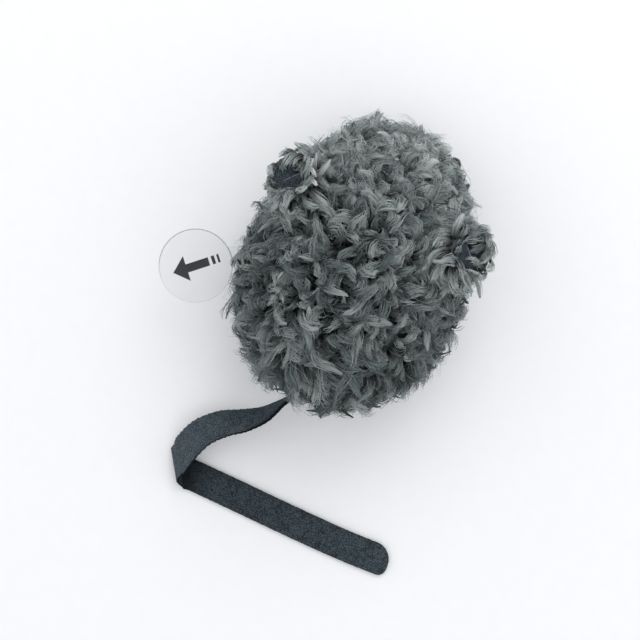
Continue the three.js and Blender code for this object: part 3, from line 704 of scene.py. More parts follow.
class Bench:
    """Small mesh jobs that every sub-assembly uses."""

    @staticmethod
    def piece(name: str, points: np.ndarray, faces: Sequence[Sequence[int]]) -> Piece:
        """Makes an object at the origin from points in millimetres.

        Args:
            name: the piece's name.
            points: one row for each vertex.
            faces: vertex numbers of each face, seen from outside.

        Returns:
            The new object, shaded smooth.
        """
        mesh = bpy.data.meshes.new(name)
        mesh.from_pydata((np.asarray(points) * MM).tolist(), [], [tuple(f) for f in faces])
        mesh.validate()
        return Bench.placed(name, mesh)

    @staticmethod
    def placed(name: str, mesh: bpy.types.Mesh) -> Piece:
        """Puts a mesh into the scene, shaded smooth.

        Args:
            name: the piece's name.
            mesh: its mesh.

        Returns:
            The new object.
        """
        mesh.name = name
        mesh.shade_smooth()
        made = bpy.data.objects.new(name, mesh)
        bpy.context.scene.collection.objects.link(made)
        return made

    @staticmethod
    def points(piece: Piece) -> np.ndarray:
        """A piece's vertices in millimetres.

        Args:
            piece: the piece.

        Returns:
            One row for each vertex.
        """
        flat = np.empty(len(piece.data.vertices) * 3)
        piece.data.vertices.foreach_get("co", flat)
        return flat.reshape(-1, 3) / MM

    @staticmethod
    def normals(piece: Piece) -> np.ndarray:
        """A piece's vertex normals.

        Args:
            piece: the piece.

        Returns:
            One row for each vertex.
        """
        flat = np.empty(len(piece.data.vertices) * 3)
        piece.data.vertex_normals.foreach_get("vector", flat)
        return flat.reshape(-1, 3)

    @staticmethod
    def move(piece: Piece, points: np.ndarray) -> None:
        """Gives a piece's vertices new places in millimetres."""
        piece.data.vertices.foreach_set("co", (points * MM).ravel())
        piece.data.update()

    @staticmethod
    def applied(piece: Piece) -> None:
        """Applies a piece's modifiers to its mesh.

        Args:
            piece: the piece.
        """
        graph = bpy.context.evaluated_depsgraph_get()
        mesh = bpy.data.meshes.new_from_object(piece.evaluated_get(graph), depsgraph=graph)
        piece.modifiers.clear()
        old, piece.data = piece.data, mesh
        bpy.data.meshes.remove(old)
        mesh.name = piece.name
        mesh.shade_smooth()

    @staticmethod
    def refined(piece: Piece, levels: int = 1) -> None:
        """Subdivides a piece and rounds it.

        Args:
            piece: the piece.
            levels: how often.
        """
        modifier = piece.modifiers.new("refine", "SUBSURF")
        modifier.levels = modifier.render_levels = levels
        Bench.applied(piece)

    @staticmethod
    def remeshed(piece: Piece, voxel: float) -> None:
        """Rebuilds a closed piece from even quads of about this size.

        Args:
            piece: the piece.
            voxel: the size, in millimetres.
        """
        modifier = piece.modifiers.new("remesh", "REMESH")
        modifier.mode = "VOXEL"
        modifier.voxel_size = voxel * MM
        Bench.applied(piece)

    @staticmethod
    def inflated(piece: Piece, cap: float, pressure: float = 4.0, frames: int = 20) -> None:
        """Swells a closed piece by cloth simulation.

        Args:
            piece: the sewn form, slightly small.
            cap: the furthest that a point may move, in millimetres.
            pressure: the push of the filling.
            frames: how long it swells.
        """
        rest = Bench.points(piece)
        modifier = piece.modifiers.new("swell", "CLOTH")
        modifier.settings.use_pressure = True
        modifier.settings.uniform_pressure_force = pressure
        modifier.settings.effector_weights.gravity = 0.0
        modifier.settings.quality = 6
        scene = bpy.context.scene
        for number in range(1, frames + 1):
            scene.frame_set(number)
        graph = bpy.context.evaluated_depsgraph_get()
        swollen = piece.evaluated_get(graph).to_mesh()
        flat = np.empty(len(swollen.vertices) * 3)
        swollen.vertices.foreach_get("co", flat)
        piece.modifiers.clear()
        scene.frame_set(1)
        step = flat.reshape(-1, 3) / MM - rest
        reach = np.linalg.norm(step, axis=1, keepdims=True)
        Bench.move(piece, rest + step * np.minimum(1.0, cap / np.maximum(reach, TINY)))

    @staticmethod
    def copied(name: str, node: Piece) -> Piece:
        """Copies a CAD node's mesh into a new piece, with its loose triangles merged.

        Args:
            name: the new piece's name.
            node: the CAD node.

        Returns:
            The new piece.
        """
        work = bmesh.new()
        work.from_mesh(node.data)
        bmesh.ops.remove_doubles(work, verts=work.verts, dist=0.002 * MM)
        mesh = bpy.data.meshes.new(name)
        work.to_mesh(mesh)
        work.free()
        return Bench.placed(name, mesh)

    @staticmethod
    def turned(
        profile: Sequence[tuple[float, float]], sides: int
    ) -> tuple[np.ndarray, list[tuple[int, ...]]]:
        """Turns a closed profile about Z.

        Args:
            profile: radius and height, up the outside from the axis and back to it.
            sides: the number of faces round.

        Returns:
            The points and the faces.
        """
        angles = np.linspace(0, 2 * math.pi, sides, endpoint=False)
        circle = np.stack([np.cos(angles), np.sin(angles), np.zeros(sides)], 1)
        rings = [circle * radius + np.array([0.0, 0.0, height]) for radius, height in profile[1:-1]]
        points = np.concatenate([[[0, 0, profile[0][1]]], *rings, [[0, 0, profile[-1][1]]]])
        faces: list[tuple[int, ...]] = []
        last = len(points) - 1
        for i in range(sides):
            j = (i + 1) % sides
            faces.append((0, 1 + j, 1 + i))
            for ring in range(len(rings) - 1):
                low, high = 1 + ring * sides, 1 + (ring + 1) * sides
                faces.append((low + i, low + j, high + j, high + i))
            top = 1 + (len(rings) - 1) * sides
            faces.append((top + i, top + j, last))
        return points, faces

    @staticmethod
    def aimed(points: np.ndarray, direction: Sequence[float], place: Sequence[float]) -> np.ndarray:
        """Turns points made about Z to a direction, and moves them to a place."""
        turn = Vector((0, 0, 1)).rotation_difference(Vector(direction)).to_matrix()
        return np.asarray(points) @ np.array(turn).T + np.asarray(place)

    @staticmethod
    def note(piece: Piece, name: str, values: np.ndarray, domain: str = "POINT") -> None:
        """Writes an attribute on a mesh.

        Args:
            piece: the mesh's object.
            name: the attribute's name.
            values: numbers, vectors or whole numbers, one row for each element.
            domain: the kind of element.
        """
        values = np.asarray(values)
        whole = np.issubdtype(values.dtype, np.integer)
        kind = "FLOAT_VECTOR" if values.ndim == 2 else "INT" if whole else "FLOAT"
        made = piece.data.attributes.get(name) or piece.data.attributes.new(name, kind, domain)
        made.data.foreach_set("vector" if values.ndim == 2 else "value", values.ravel())

    @staticmethod
    def notes(piece: Piece, values: dict[str, np.ndarray | float]) -> None:
        """Writes attributes on a mesh's points; a plain number is the same at every point.

        Args:
            piece: the mesh's object.
            values: each attribute's name and values.
        """
        count = len(piece.data.vertices)
        for name, value in values.items():
            Bench.note(piece, name, np.full(count, value) if isinstance(value, float) else value)

    @staticmethod
    def dressed(
        piece: Piece, finish: Finish, body: Body, slot: str, replaces: Iterable[str] = ()
    ) -> Piece:
        """Gives a piece its finish and its body, and hides the nodes that it stands for.

        Args:
            piece: the piece.
            finish: its finish, unless it has one.
            body: the body that it rides on.
            slot: not used.
            replaces: the CAD nodes that it stands for.

        Returns:
            The same piece.
        """
        if not piece.data.materials:
            piece.data.materials.append(finish.material())
        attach(piece, body.value)
        if replaces:
            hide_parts(*replaces)
        LOG.info("%s: %d faces, %s, on %s", piece.name, len(piece.data.polygons), finish.name, body.value)
        return piece


@dataclass(frozen=True)
class LockSizes:
    """How the locks of a patch of plush are cut and laid, in millimetres and degrees."""

    spacing: float = 2.0
    strands: int = 26
    length: float = 10.8
    width: float = 1.45
    thickness: float = 1.0
    core: float = 0.48
    strand: float = 0.09
    root_lift: float = 16.0
    tip_lift: float = 124.0
    wave: float = 0.55
    frizz: float = 0.2
    floor: float = 0.15
    seed: int = 5


class LockTree:
    """Geometry Nodes that grow leaf-shaped locks of fibres on a combed surface.

    The surface carries the attributes in MARKS: which way its pile is combed and how far locks stray from
    that, how much they bow and lean, how long and wide they are, their tone with painted light and shade, how
    thickly they cover, and the patch. The tree's inputs have the names of LockSizes. A chance is its low end,
    its high end and its seed.
    """

    MARKS = ("comb", "stray", "bow", "lean", "pile", "girth", "tone_and_painted_light", "cover", "patch")
    LENGTHS = ("spacing", "length", "width", "thickness", "strand", "wave", "frizz", "floor")
    ANGLES = ("root_lift", "tip_lift")
    INPUTS = {
        "NodeSocketFloat": (*LENGTHS, *ANGLES, "core"),
        "NodeSocketInt": ("strands", "patch", "seed"),
        "NodeSocketMaterial": ("material",),
    }
    CHANCES = {
        "turn": (-1.0, 1.0, 11), "curl": (-1.0, 1.0, 23), "size": (0.0, 1.0, 37), "droop": (-0.6, 0.25, 43),
        "phase": (0.0, math.tau, 47), "lock_tone": (-0.1, 0.52, 53), "aside": (-1.0, 1.0, 61),
        "deep": (-0.2, 1.0, 67), "trim": (0.6, 1.0, 71), "kink": (0.0, math.tau, 73),
        "tone": (-0.06, 0.26, 79), "wild": (0.0, 1.0, 83),
    }
    CROWDING = 4.0
    LEAF = ((0, 0.35), (0.2, 0.75), (0.5, 1.0), (0.8, 0.98), (0.94, 0.82), (1, 0.62))
    TAPER = ((0, 0.85), (0.45, 1.0), (0.8, 0.75), (1, 0.2))
    RINGS = 6
    WAVES = 7.0
    KINKS = 15.0
    SIDE_TRIM = 0.24
    CROWN = 0.8
    CORE_FLATNESS = 0.4
    MAP_START = 0.03
    MAP_SPAN = (0.93, 0.94)
    MAP_RING = (0.015, 0.01)
    KEPT = ("along", "tone", BAKE_MAP, "sharp_face", "material_index")

    def __init__(self) -> None:
        """Writes the tree."""
        self.tree = bpy.data.node_groups.new("plush_locks", "GeometryNodeTree")
        sockets = self.tree.interface
        for way in ("INPUT", "OUTPUT"):
            sockets.new_socket(name="Geometry", in_out=way, socket_type="NodeSocketGeometry")
        self.keys: dict[str, str] = {}
        for kind, labels in self.INPUTS.items():
            for label in labels:
                made = sockets.new_socket(name=label, in_out="INPUT", socket_type=kind)
                self.keys[label] = made.identifier
        self.net = Net(self.tree)
        self.given = {s.name: s for s in self.net.node("NodeGroupInput").outputs if s.name}
        laid = self.laid(self.strands(self.locks()))
        smooth = self.net.node("GeometryNodeSetShadeSmooth", {0: laid}).outputs[0]
        coated = self.net.node("GeometryNodeSetMaterial", {0: smooth, "Material": self.given["material"]})
        self.net.node("NodeGroupOutput", {0: coated.outputs[0]})

    def value(self, label: str) -> Field:
        """One of the tree's number inputs."""
        return self.net.number(self.given[label])

    def read(self, name: str) -> Field:
        """A number attribute."""
        node = self.net.node("GeometryNodeInputNamedAttribute", {"Name": name}, data_type="FLOAT")
        return self.net.number(node.outputs[0])

    def read_vector(self, name: str) -> VectorField:
        """A vector attribute."""
        node = self.net.node("GeometryNodeInputNamedAttribute", {"Name": name}, data_type="FLOAT_VECTOR")
        return self.net.direction(node.outputs[0])

    def position(self) -> VectorField:
        """Where a point is."""
        return self.net.direction(self.net.node("GeometryNodeInputPosition").outputs[0])

    def chance(self, name: str) -> Field:
        """A random number for each point, the same each run.

        Args:
            name: which of CHANCES.

        Returns:
            The number.
        """
        low, high, salt = self.CHANCES[name]
        inputs = {2: low, 3: high, "Seed": self.value("seed") + float(salt)}
        return self.net.number(self.net.node("FunctionNodeRandomValue", inputs, data_type="FLOAT").outputs[1])

    def stored(self, geometry: Socket, values: dict[str, Field]) -> Socket:
        """Writes attributes on points, one after the other.

        Args:
            geometry: what carries them.
            values: each attribute's name and value, which may read those before it.

        Returns:
            The geometry that has them.
        """
        for name, value in values.items():
            kind = "FLOAT_VECTOR" if isinstance(value, VectorField) else "FLOAT"
            inputs = {"Geometry": geometry, "Name": name, "Value": value}
            node = self.net.node("GeometryNodeStoreNamedAttribute", inputs, data_type=kind, domain="POINT")
            geometry = node.outputs[0]
        return geometry

    def locks(self) -> Socket:
        """Sets out the patch's locks, each with its frame and its own chances.

        Returns:
            One point for each lock.
        """
        spacing, patch = self.value("spacing"), self.value("patch")
        density = (spacing * spacing).combine("POWER", -1.0) * self.CROWDING
        inputs = {"Mesh": self.given["Geometry"], "Distance Min": spacing, "Density Max": density}
        inputs |= {"Density Factor": self.read("cover"), "Seed": self.given["seed"]}
        spread = self.net.node("GeometryNodeDistributePointsOnFaces", inputs, distribute_method="POISSON")
        other = (self.read("patch") - patch).combine("ABSOLUTE").combine("GREATER_THAN", 0.5)
        inputs = {0: spread.outputs["Points"], "Selection": other * patch.combine("GREATER_THAN", 0.5)}
        kept = self.net.node("GeometryNodeDeleteGeometry", inputs)
        normal = self.net.direction(spread.outputs["Normal"])
        comb = self.read_vector("comb")
        flat = (comb - normal * comb.dot(normal)).straightened()
        turn = self.read("stray") * self.chance("turn")
        ahead = flat * turn.cosine() + normal.cross(flat) * turn.sine()
        size = self.chance("size")
        values = {
            "upright": normal,
            "ahead": ahead,
            "sideways": normal.cross(ahead),
            "root": self.position(),
            "curl": self.read("bow") * self.chance("curl"),
            "reach": self.read("pile") * (size * 0.6 + 0.7),
            "fat": self.read("girth") * (size * 0.8 + 0.55),
            "droop": self.chance("droop"),
            "phase": self.chance("phase"),
            # the lock's tone takes the painted light and shade of its region
            "lock_tone": self.chance("lock_tone") + self.read("tone_and_painted_light"),
        }
        return self.stored(kept.outputs[0], values)

    def strands(self, locks: Socket) -> Socket:
        """Makes the fibres of each lock: straight tapered threads, still at the lock's root.

        Args:
            locks: one point for each lock.

        Returns:
            The threads. The first of each lock is its core.
        """
        net = self.net
        inputs = {"Geometry": locks, "Amount": self.given["strands"]}
        many = net.node("GeometryNodeDuplicateElements", inputs, domain="POINT")
        core = net.number(many.outputs["Duplicate Index"]).combine("LESS_THAN", 0.5)
        outer = core * -1.0 + 1.0
        # strands at a lock's sides are paler, a painted highlight on its edges; the core is a little darker,
        # painted shade between the strands
        rim = self.read("aside") * self.read("aside") * 0.25
        tone = self.read("lock_tone") + self.chance("tone") * outer + rim - core * 0.04
        values = {
            "core": core,
            "aside": self.chance("aside") * outer,
            "deep": self.chance("deep") * outer - core * 0.5,
            "trim": self.chance("trim"),
            "wild": self.chance("wild").combine("POWER", 4.0) * 4.0 + 0.6,
            "kink": self.chance("kink"),
            "tone": tone.at_least(0.0).combine("MINIMUM", 1.0),
        }
        points = self.stored(many.outputs[0], values)
        line = net.node("GeometryNodeCurvePrimitiveLine", {"End": (0.0, 0.0, 1.0)})
        cut = net.node("GeometryNodeResampleCurve", {"Curve": line.outputs[0], "Count": self.RINGS})
        ring = net.node("GeometryNodeCurvePrimitiveCircle", {"Resolution": 3, "Radius": 1.0})
        inputs = {"Curve": cut.outputs[0], "Profile Curve": ring.outputs[0], "Fill Caps": True}
        thread = net.node("GeometryNodeCurveToMesh", inputs).outputs[0]
        place = self.position()
        thread = self.stored(thread, {"along": place.parts()[2], "ring": place})
        return net.node("GeometryNodeInstanceOnPoints", {"Points": points, "Instance": thread}).outputs[0]

    def laid(self, instances: Socket) -> Socket:
        """Bends the threads into locks: up from the root, over, to one side and to a point.

        Args:
            instances: the straight threads.

        Returns:
            The mesh of the locks, with its map for baking.
        """
        net = self.net
        solid = net.node("GeometryNodeRealizeInstances", {0: instances}).outputs[0]
        along, aside = self.read("along"), self.read("aside")
        upright, ahead, sideways = (self.read_vector(n) for n in ("upright", "ahead", "sideways"))
        trim = self.read("trim") - aside * aside * self.SIDE_TRIM
        reach = self.value("length") * self.read("reach") * trim
        start = self.value("root_lift")
        bend = (self.value("tip_lift") - start + self.read("droop")) * self.read("lean")
        angle = start + bend * along
        height = reach * (angle.sine() - start.sine()) / bend
        half_turn = self.read("curl") * along * 0.5
        squared = half_turn * half_turn
        chord = squared * (squared * (1 / 120) - 1 / 6) + 1.0
        out = reach * (start.cosine() - angle.cosine()) / bend * chord
        whole_turn = half_turn * 2.0
        lateral = ahead * half_turn.cosine() + sideways * half_turn.sine()
        across = sideways * whole_turn.cosine() - ahead * whole_turn.sine()
        heading = ahead * whole_turn.cosine() + sideways * whole_turn.sine()
        above = upright * angle.sine() - heading * angle.cosine()
        leaf = net.eased(along, self.LEAF) * self.read("fat")
        crown = (aside * aside * -self.CROWN + 1.0) * self.read("deep")
        swing = (along * self.WAVES + self.read("phase")).sine() * along * self.value("wave")
        kink = along * self.KINKS + self.read("kink")
        frizz = self.value("frizz") * along * self.read("wild")
        side_step = aside * leaf * self.value("width") + swing + kink.sine() * frizz
        up_step = crown * leaf * self.value("thickness") + kink.cosine() * frizz
        ring_x, ring_y, _ = self.read_vector("ring").parts()
        thread = net.eased(along, self.TAPER) * self.value("strand")
        body = self.read("core") * leaf * self.value("core")
        wide = thread + body * self.value("width")
        girth = thread + body * self.value("thickness") * self.CORE_FLATNESS
        place = self.read_vector("root") + upright * height + lateral * out
        place = place + across * (side_step + ring_x * wide) + above * (up_step + ring_y * girth)
        x, y, z = place.parts()
        lying = net.joined(x, y, z.at_least(self.value("floor") + ring_y * girth))
        moved = net.node("GeometryNodeSetPosition", {0: solid, "Position": lying}).outputs[0]
        shares = zip((self.read("tone"), along), self.MAP_SPAN, (ring_x, ring_y), self.MAP_RING)
        spot = [share * span + ring * spread + self.MAP_START for share, span, ring, spread in shares]
        inputs = {"Geometry": moved, "Name": BAKE_MAP, "Value": net.joined(*spot, 0.0)}
        mapped = net.node("GeometryNodeStoreNamedAttribute", inputs, data_type="FLOAT2", domain="CORNER")
        return mapped.outputs[0]

    def grown(
        self, source: Piece, name: str, patch: int, sizes: LockSizes, finish: Finish
    ) -> Piece:
        """Grows one patch of a combed surface.

        Args:
            source: the surface.
            name: the new piece's name.
            patch: which of the surface's patches to grow, or 0 for all of them.
            sizes: how the locks are cut and laid.
            finish: the fibres' finish.

        Returns:
            The locks as one plain mesh.
        """
        values: dict[str, object] = {label: getattr(sizes, label) * MM for label in self.LENGTHS}
        values |= {label: math.radians(getattr(sizes, label)) for label in self.ANGLES}
        values |= {label: getattr(sizes, label) for label in ("core", "strands", "seed")}
        values |= {"patch": int(patch), "material": finish.material()}
        modifier = source.modifiers.new(name, "NODES")
        modifier.node_group = self.tree
        for label, value in values.items():
            modifier[self.keys[label]] = value
        graph = bpy.context.evaluated_depsgraph_get()
        evaluated = source.evaluated_get(graph)
        mesh = bpy.data.meshes.new_from_object(evaluated, preserve_all_data_layers=True, depsgraph=graph)
        source.modifiers.remove(modifier)
        for label in [a.name for a in mesh.attributes if a.name not in self.KEPT]:
            spare = mesh.attributes[label]
            if not spare.is_internal and not spare.is_required:
                mesh.attributes.remove(spare)
        return Bench.placed(name, mesh)

    @classmethod
    def cleared(cls, source: Piece) -> None:
        """Takes the marks off a surface that is grown."""
        for name in cls.MARKS:
            source.data.attributes.remove(source.data.attributes[name])


@dataclass(frozen=True)
class BodyForm:
    """The egg that the pile fills out, as the part's source has it."""

    length: float = 97.0
    width: float = 77.0
    height: float = 58.0
    belly_sag: float = 2.0
    nose_slim: float = 0.1
    nose_drop: float = 8.0
    rump_power: float = 2.4
    seam_height: float = 22.0

    def points(self, directions: np.ndarray, inset: float = 0.0) -> np.ndarray:
        """Points of the egg in directions from its middle.

        Args:
            directions: one row for each point, of length one.
            inset: how far below the pile's tips.

        Returns:
            One row for each point.
        """
        directions = np.atleast_2d(directions)
        along = np.clip(directions[:, 1], -1, 1)
        across = np.maximum(np.hypot(directions[:, 0], directions[:, 2]), 1e-6)
        power = np.where(along < 0, self.rump_power, 2.0)
        ring = np.maximum(1 - np.abs(along) ** power, 0.0) ** (1 / power)
        scale = ring / across * (1 - self.nose_slim * along)
        half = (self.height + self.belly_sag) / 2
        x = directions[:, 0] * scale * (self.width / 2 - inset)
        y = along * (self.length / 2 - inset)
        z = self.height - half + directions[:, 2] * scale * (half - inset)
        return np.stack([x, y, z - self.nose_drop * np.maximum(along, 0) ** 2], 1)


@dataclass
class Face:
    """The eyes and the nose, low on the face."""

    form: BodyForm
    eye_round: float = 27.0
    eye_dip: float = 16.0
    nose_dip: float = 24.0
    nose_diameter: float = 8.0
    nose_stand: float = 2.6
    nose_rings: int = 15
    nose_sides: int = 36
    nose_bulge: float = 0.05
    nose_front: float = 1.05
    nose_back: float = 0.9
    puckers: int = 9
    pucker_depth: float = 0.025

    def eye(self, side: Side) -> np.ndarray:
        """Where an eye sits in the pile.

        Args:
            side: which eye.

        Returns:
            The point.
        """
        turn, dip = math.radians(self.eye_round), math.radians(self.eye_dip)
        aim = [side * math.sin(turn) * math.cos(dip), math.cos(turn) * math.cos(dip), -math.sin(dip)]
        return self.form.points(np.array(aim))[0]

    def nose(self) -> tuple[np.ndarray, np.ndarray]:
        """Where the nose sits, and the direction that it points.

        Returns:
            The point and the direction.
        """
        dip = math.radians(self.nose_dip)
        aim = np.array([0.0, math.cos(dip), -math.sin(dip)])
        return self.form.points(aim)[0], aim

    def build(self) -> None:
        """Makes the stuffed suede nose."""
        place, aim = self.nose()
        radius = self.nose_diameter / 2
        profile = []
        for turn in np.linspace(math.pi, 0, self.nose_rings):
            share, rise = math.sin(turn), math.cos(turn)
            stand = self.nose_front if rise > 0 else self.nose_back
            profile.append((radius * share * (1.0 + self.nose_bulge * share), self.nose_stand * rise * stand))
        points, faces = Bench.turned(profile, self.nose_sides)
        angle = np.arctan2(points[:, 1], points[:, 0])
        rim = smooth_step(0.4, 0.9, np.hypot(points[:, 0], points[:, 1]) / radius)
        points[:, :2] *= (1.0 + self.pucker_depth * np.cos(self.puckers * angle) * rim)[:, None]
        nose = Bench.piece("nose_pad", Bench.aimed(points, aim, place), faces)
        Bench.dressed(nose, Finishes.SUEDE, Body.MOUSE, "suede", ["nose_button"])


@dataclass
class Ear:
    """One ear: a plush cup with a creased suede lining and a ring of locks."""

    form: BodyForm
    side: Side
    diameter: float = 19.0
    backing_share: float = 0.84
    thickness: float = 5.0
    cup_depth: float = 2.6
    cup_sides: int = 40
    forward: float = 14.0
    spread: float = 48.0
    tilt: float = 36.0
    lift: float = 2.4
    lining: float = 12.0
    lining_thickness: float = 1.2
    lining_rings: int = 12
    lining_sides: int = 48
    fit: float = 0.3
    crease: tuple[float, float] = (0.74, 0.67)
    crease_depth: float = 0.9
    turn_up: float = 1.1
    locks: LockSizes = LockSizes(
        spacing=1.2, strands=17, length=9.6, width=1.05, thickness=0.8, root_lift=34.0, tip_lift=126.0)
    tuft: LockSizes = LockSizes(
        spacing=1.2, strands=24, length=5.0, width=0.9, thickness=0.5, strand=0.08, root_lift=50.0,
        tip_lift=96.0, wave=0.0, frizz=0.03)
    tuft_places: tuple[tuple[float, float, float], ...] = ((-24.8, 19.2, 55.0), (-23.6, 16.2, 55.0))
    tuft_comb: tuple[float, float, float] = (0.8, -0.6, 0.0)

    QUALITIES = {
        "stray": (0.5, {"crown": 0.5, "over": -0.3}),
        "bow": (2.8, {"over": -1.6}),
        "lean": (1.0, {"over": 0.5, "under": 0.4}),
        "pile": (1.0, {"behind": 0.25, "outer": -0.74, "front": -0.35}),
        "girth": (1.25, {"outer": -0.3}),
        # ear locks paler than the body's: painted light on the lit front of the head
        "tone_and_painted_light": (0.32, {}),
    }
    TUFT_MARKS = {"stray": 0.1, "bow": 0.4, "lean": 1.0, "pile": 1.0, "girth": 1.0, "tone_and_painted_light": 0.4, "cover": 1.0}

    @property
    def label(self) -> str:
        """Its name in the part."""
        return f"ear_{self.side.name.lower()}"

    @property
    def body(self) -> Body:
        """The body that it moves with."""
        return Body.EAR_LEFT if self.side is Side.LEFT else Body.EAR_RIGHT

    def opening(self) -> np.ndarray:
        """The direction that the cup opens to."""
        tilt = math.radians(self.tilt)
        return unit(np.array([self.side * math.sin(tilt), 0.1, math.cos(tilt)]))

    def overhang(self) -> np.ndarray:
        """The side from which locks fall over the lining."""
        return unit(np.array([-0.5, 1.0, 0.0] if self.side is Side.LEFT else [1.0, 0.35, 0.0]))

    def cover_reach(self) -> float:
        """How long those locks are: the right ear's lining lies half under them."""
        return 0.65 if self.side is Side.LEFT else 1.1

    def seat(self) -> np.ndarray:
        """The middle of the ear.

        Returns:
            The point.
        """
        along = self.forward / (self.form.length / 2)
        turn, ring = math.radians(self.spread), math.sqrt(1 - along * along)
        aim = np.array([self.side * ring * math.sin(turn), along, ring * math.cos(turn)])
        return self.form.points(aim)[0] + self.opening() * self.lift

    def build(self, tree: LockTree) -> None:
        """Makes the cup, its lining and its locks.

        Args:
            tree: what grows the locks.
        """
        cup = self.build_cup()
        self.comb_cup(cup)
        fur = tree.grown(cup, f"{self.label}_locks", 1, self.locks, Finishes.PLUSH)
        tree.cleared(cup)
        Bench.dressed(cup, Finishes.NAP, self.body, "plush", [f"{self.label}_plush"])
        Bench.dressed(fur, Finishes.PLUSH, self.body, "plush")
        Bench.dressed(self.build_lining(), Finishes.SUEDE, self.body, "suede", [f"{self.label}_lining"])
        if self.side is Side.LEFT:
            self.build_tuft(tree)

    def build_tuft(self, tree: LockTree) -> None:
        """Makes the few pale fibres beside the left ear's lining.

        Args:
            tree: what grows the locks.
        """
        square = np.array([(-0.5, -0.5, 0), (0.5, -0.5, 0), (0.5, 0.5, 0), (-0.5, 0.5, 0)])
        corners = np.concatenate([square + np.array(place) for place in self.tuft_places])
        faces = np.arange(len(corners)).reshape(-1, 4)
        seed = Bench.piece("tuft_seed", corners, faces.tolist())
        Bench.notes(seed, self.TUFT_MARKS | {"comb": np.tile(self.tuft_comb, (len(corners), 1))})
        Bench.note(seed, "patch", np.ones(len(faces), dtype=int), "FACE")
        tuft = tree.grown(seed, f"{self.label}_pale_tuft", 1, self.tuft, Finishes.PALE)
        Bench.dressed(tuft, Finishes.PALE, self.body, "plush")
        bpy.data.objects.remove(seed)

    def build_cup(self) -> Piece:
        """Makes the sewn cup under the locks.

        Returns:
            The cup.
        """
        radius, half = self.diameter / 2 * self.backing_share, self.thickness / 2
        floor, mouth = half - self.cup_depth, self.lining / 2 + self.fit
        outside = [(0.3, -1), (0.62, -0.9), (0.9, -0.3), (1, 0.4), (0.97, 0.8), (0.86, 0.9)]
        profile = [(0, -half)] + [(radius * out, half * up) for out, up in outside]
        profile += [(mouth, floor + 1.0), (mouth, floor), (mouth * 0.5, floor), (0, floor)]
        points, faces = Bench.turned(profile, self.cup_sides)
        return Bench.piece(f"{self.label}_cup", Bench.aimed(points, self.opening(), self.seat()), faces)

    def comb_cup(self, cup: Piece) -> None:
        """Combs the cup's pile outwards from its opening.

        Args:
            cup: the sewn cup.
        """
        points, up = Bench.points(cup), Bench.normals(cup)
        axis = self.opening()
        away = points - self.seat()
        height = away @ axis
        radial = away - height[:, None] * axis
        inside = (np.linalg.norm(radial, axis=1) < self.lining / 2) & (height > -self.thickness / 2 + 0.2)
        outward = unit(radial)
        around = np.cross(axis, outward) * -self.side
        lip = smooth_step(0.1, 0.8, up @ axis)
        behind = smooth_step(-0.2, 0.8, -outward[:, 1])
        over = smooth_step(0.0, 0.7, outward @ self.overhang()) * lip
        outer = smooth_step(-0.1, 0.7, outward[:, 0] * self.side)
        front = smooth_step(0.1, 0.8, outward[:, 1]) * (self.side is Side.RIGHT)
        hang = outward * 0.3 + np.array([0, -0.6, -0.8])
        back = np.array([0, -0.8, -0.3]) * np.maximum(behind, outer)[:, None]
        swept = (around * 0.3 + outward * (1 - 0.6 * outer)[:, None] + back) * (1 - over)[:, None]
        swept -= outward * (1.3 * over)[:, None]
        comb = swept * lip[:, None] + hang * (1 - lip)[:, None] + up * 0.01
        regions = {"over": over, "outer": outer, "crown": lip * (1 - over) * (1 - outer)}
        regions |= {"under": outer * (1 - lip), "behind": behind * (1 - outer), "front": front * (1 - outer)}
        marks = told(self.QUALITIES, regions)
        marks["pile"] = marks["pile"] * (1 - over) + self.cover_reach() * over
        Bench.notes(cup, marks | {"comb": comb, "cover": np.where(inside, 0.0, 1.0)})
        Bench.note(cup, "patch", np.ones(len(cup.data.polygons), dtype=int), "FACE")

    def build_lining(self) -> Piece:
        """Makes the suede disc, dished and creased across.

        Returns:
            The disc.
        """
        radius = self.lining / 2
        floor = self.thickness / 2 - self.cup_depth + self.fit
        shares = np.linspace(0, 1, self.lining_rings + 1)[1:]
        back = [(0, floor)] + [(radius * s, floor) for s in shares]
        high = floor + self.lining_thickness
        front = [(radius * s, high + self.turn_up * s ** 5) for s in shares[::-1]] + [(0, high)]
        points, faces = Bench.turned(back + front, self.lining_sides)
        along, across = self.crease
        run = -self.side * points[:, 0] * along + points[:, 1] * across
        beside = self.side * points[:, 0] * across + points[:, 1] * along
        inner = smooth_step(radius, radius * 0.5, np.hypot(points[:, 0], points[:, 1]))
        top = points[:, 2] > floor + 0.3
        points[:, 2] += top * inner * self.crease_depth * smooth_step(0.4, -0.2, beside)
        # line: a painted highlight along the crease's raised edge; the wedge beside it is a painted fold
        # shadow
        line = np.exp(-((beside + 0.25) / 0.22) ** 2) * smooth_step(4.0, 2.0, np.abs(run))
        fold_shadow = smooth_step(0.1, 0.5, beside) * smooth_step(2.6, 1.0, beside) * smooth_step(-1.0, 2.0, run)
        lining = Bench.piece(f"{self.label}_suede", Bench.aimed(points, self.opening(), self.seat()), faces)
        # the lining's mark: painted highlight on the crease, painted shadow in the fold, and the whole top a
        # little darker
        Bench.note(lining, "mark", top * (1.1 * line - 0.3 - 0.7 * fold_shadow * (1 - line)))
        return lining


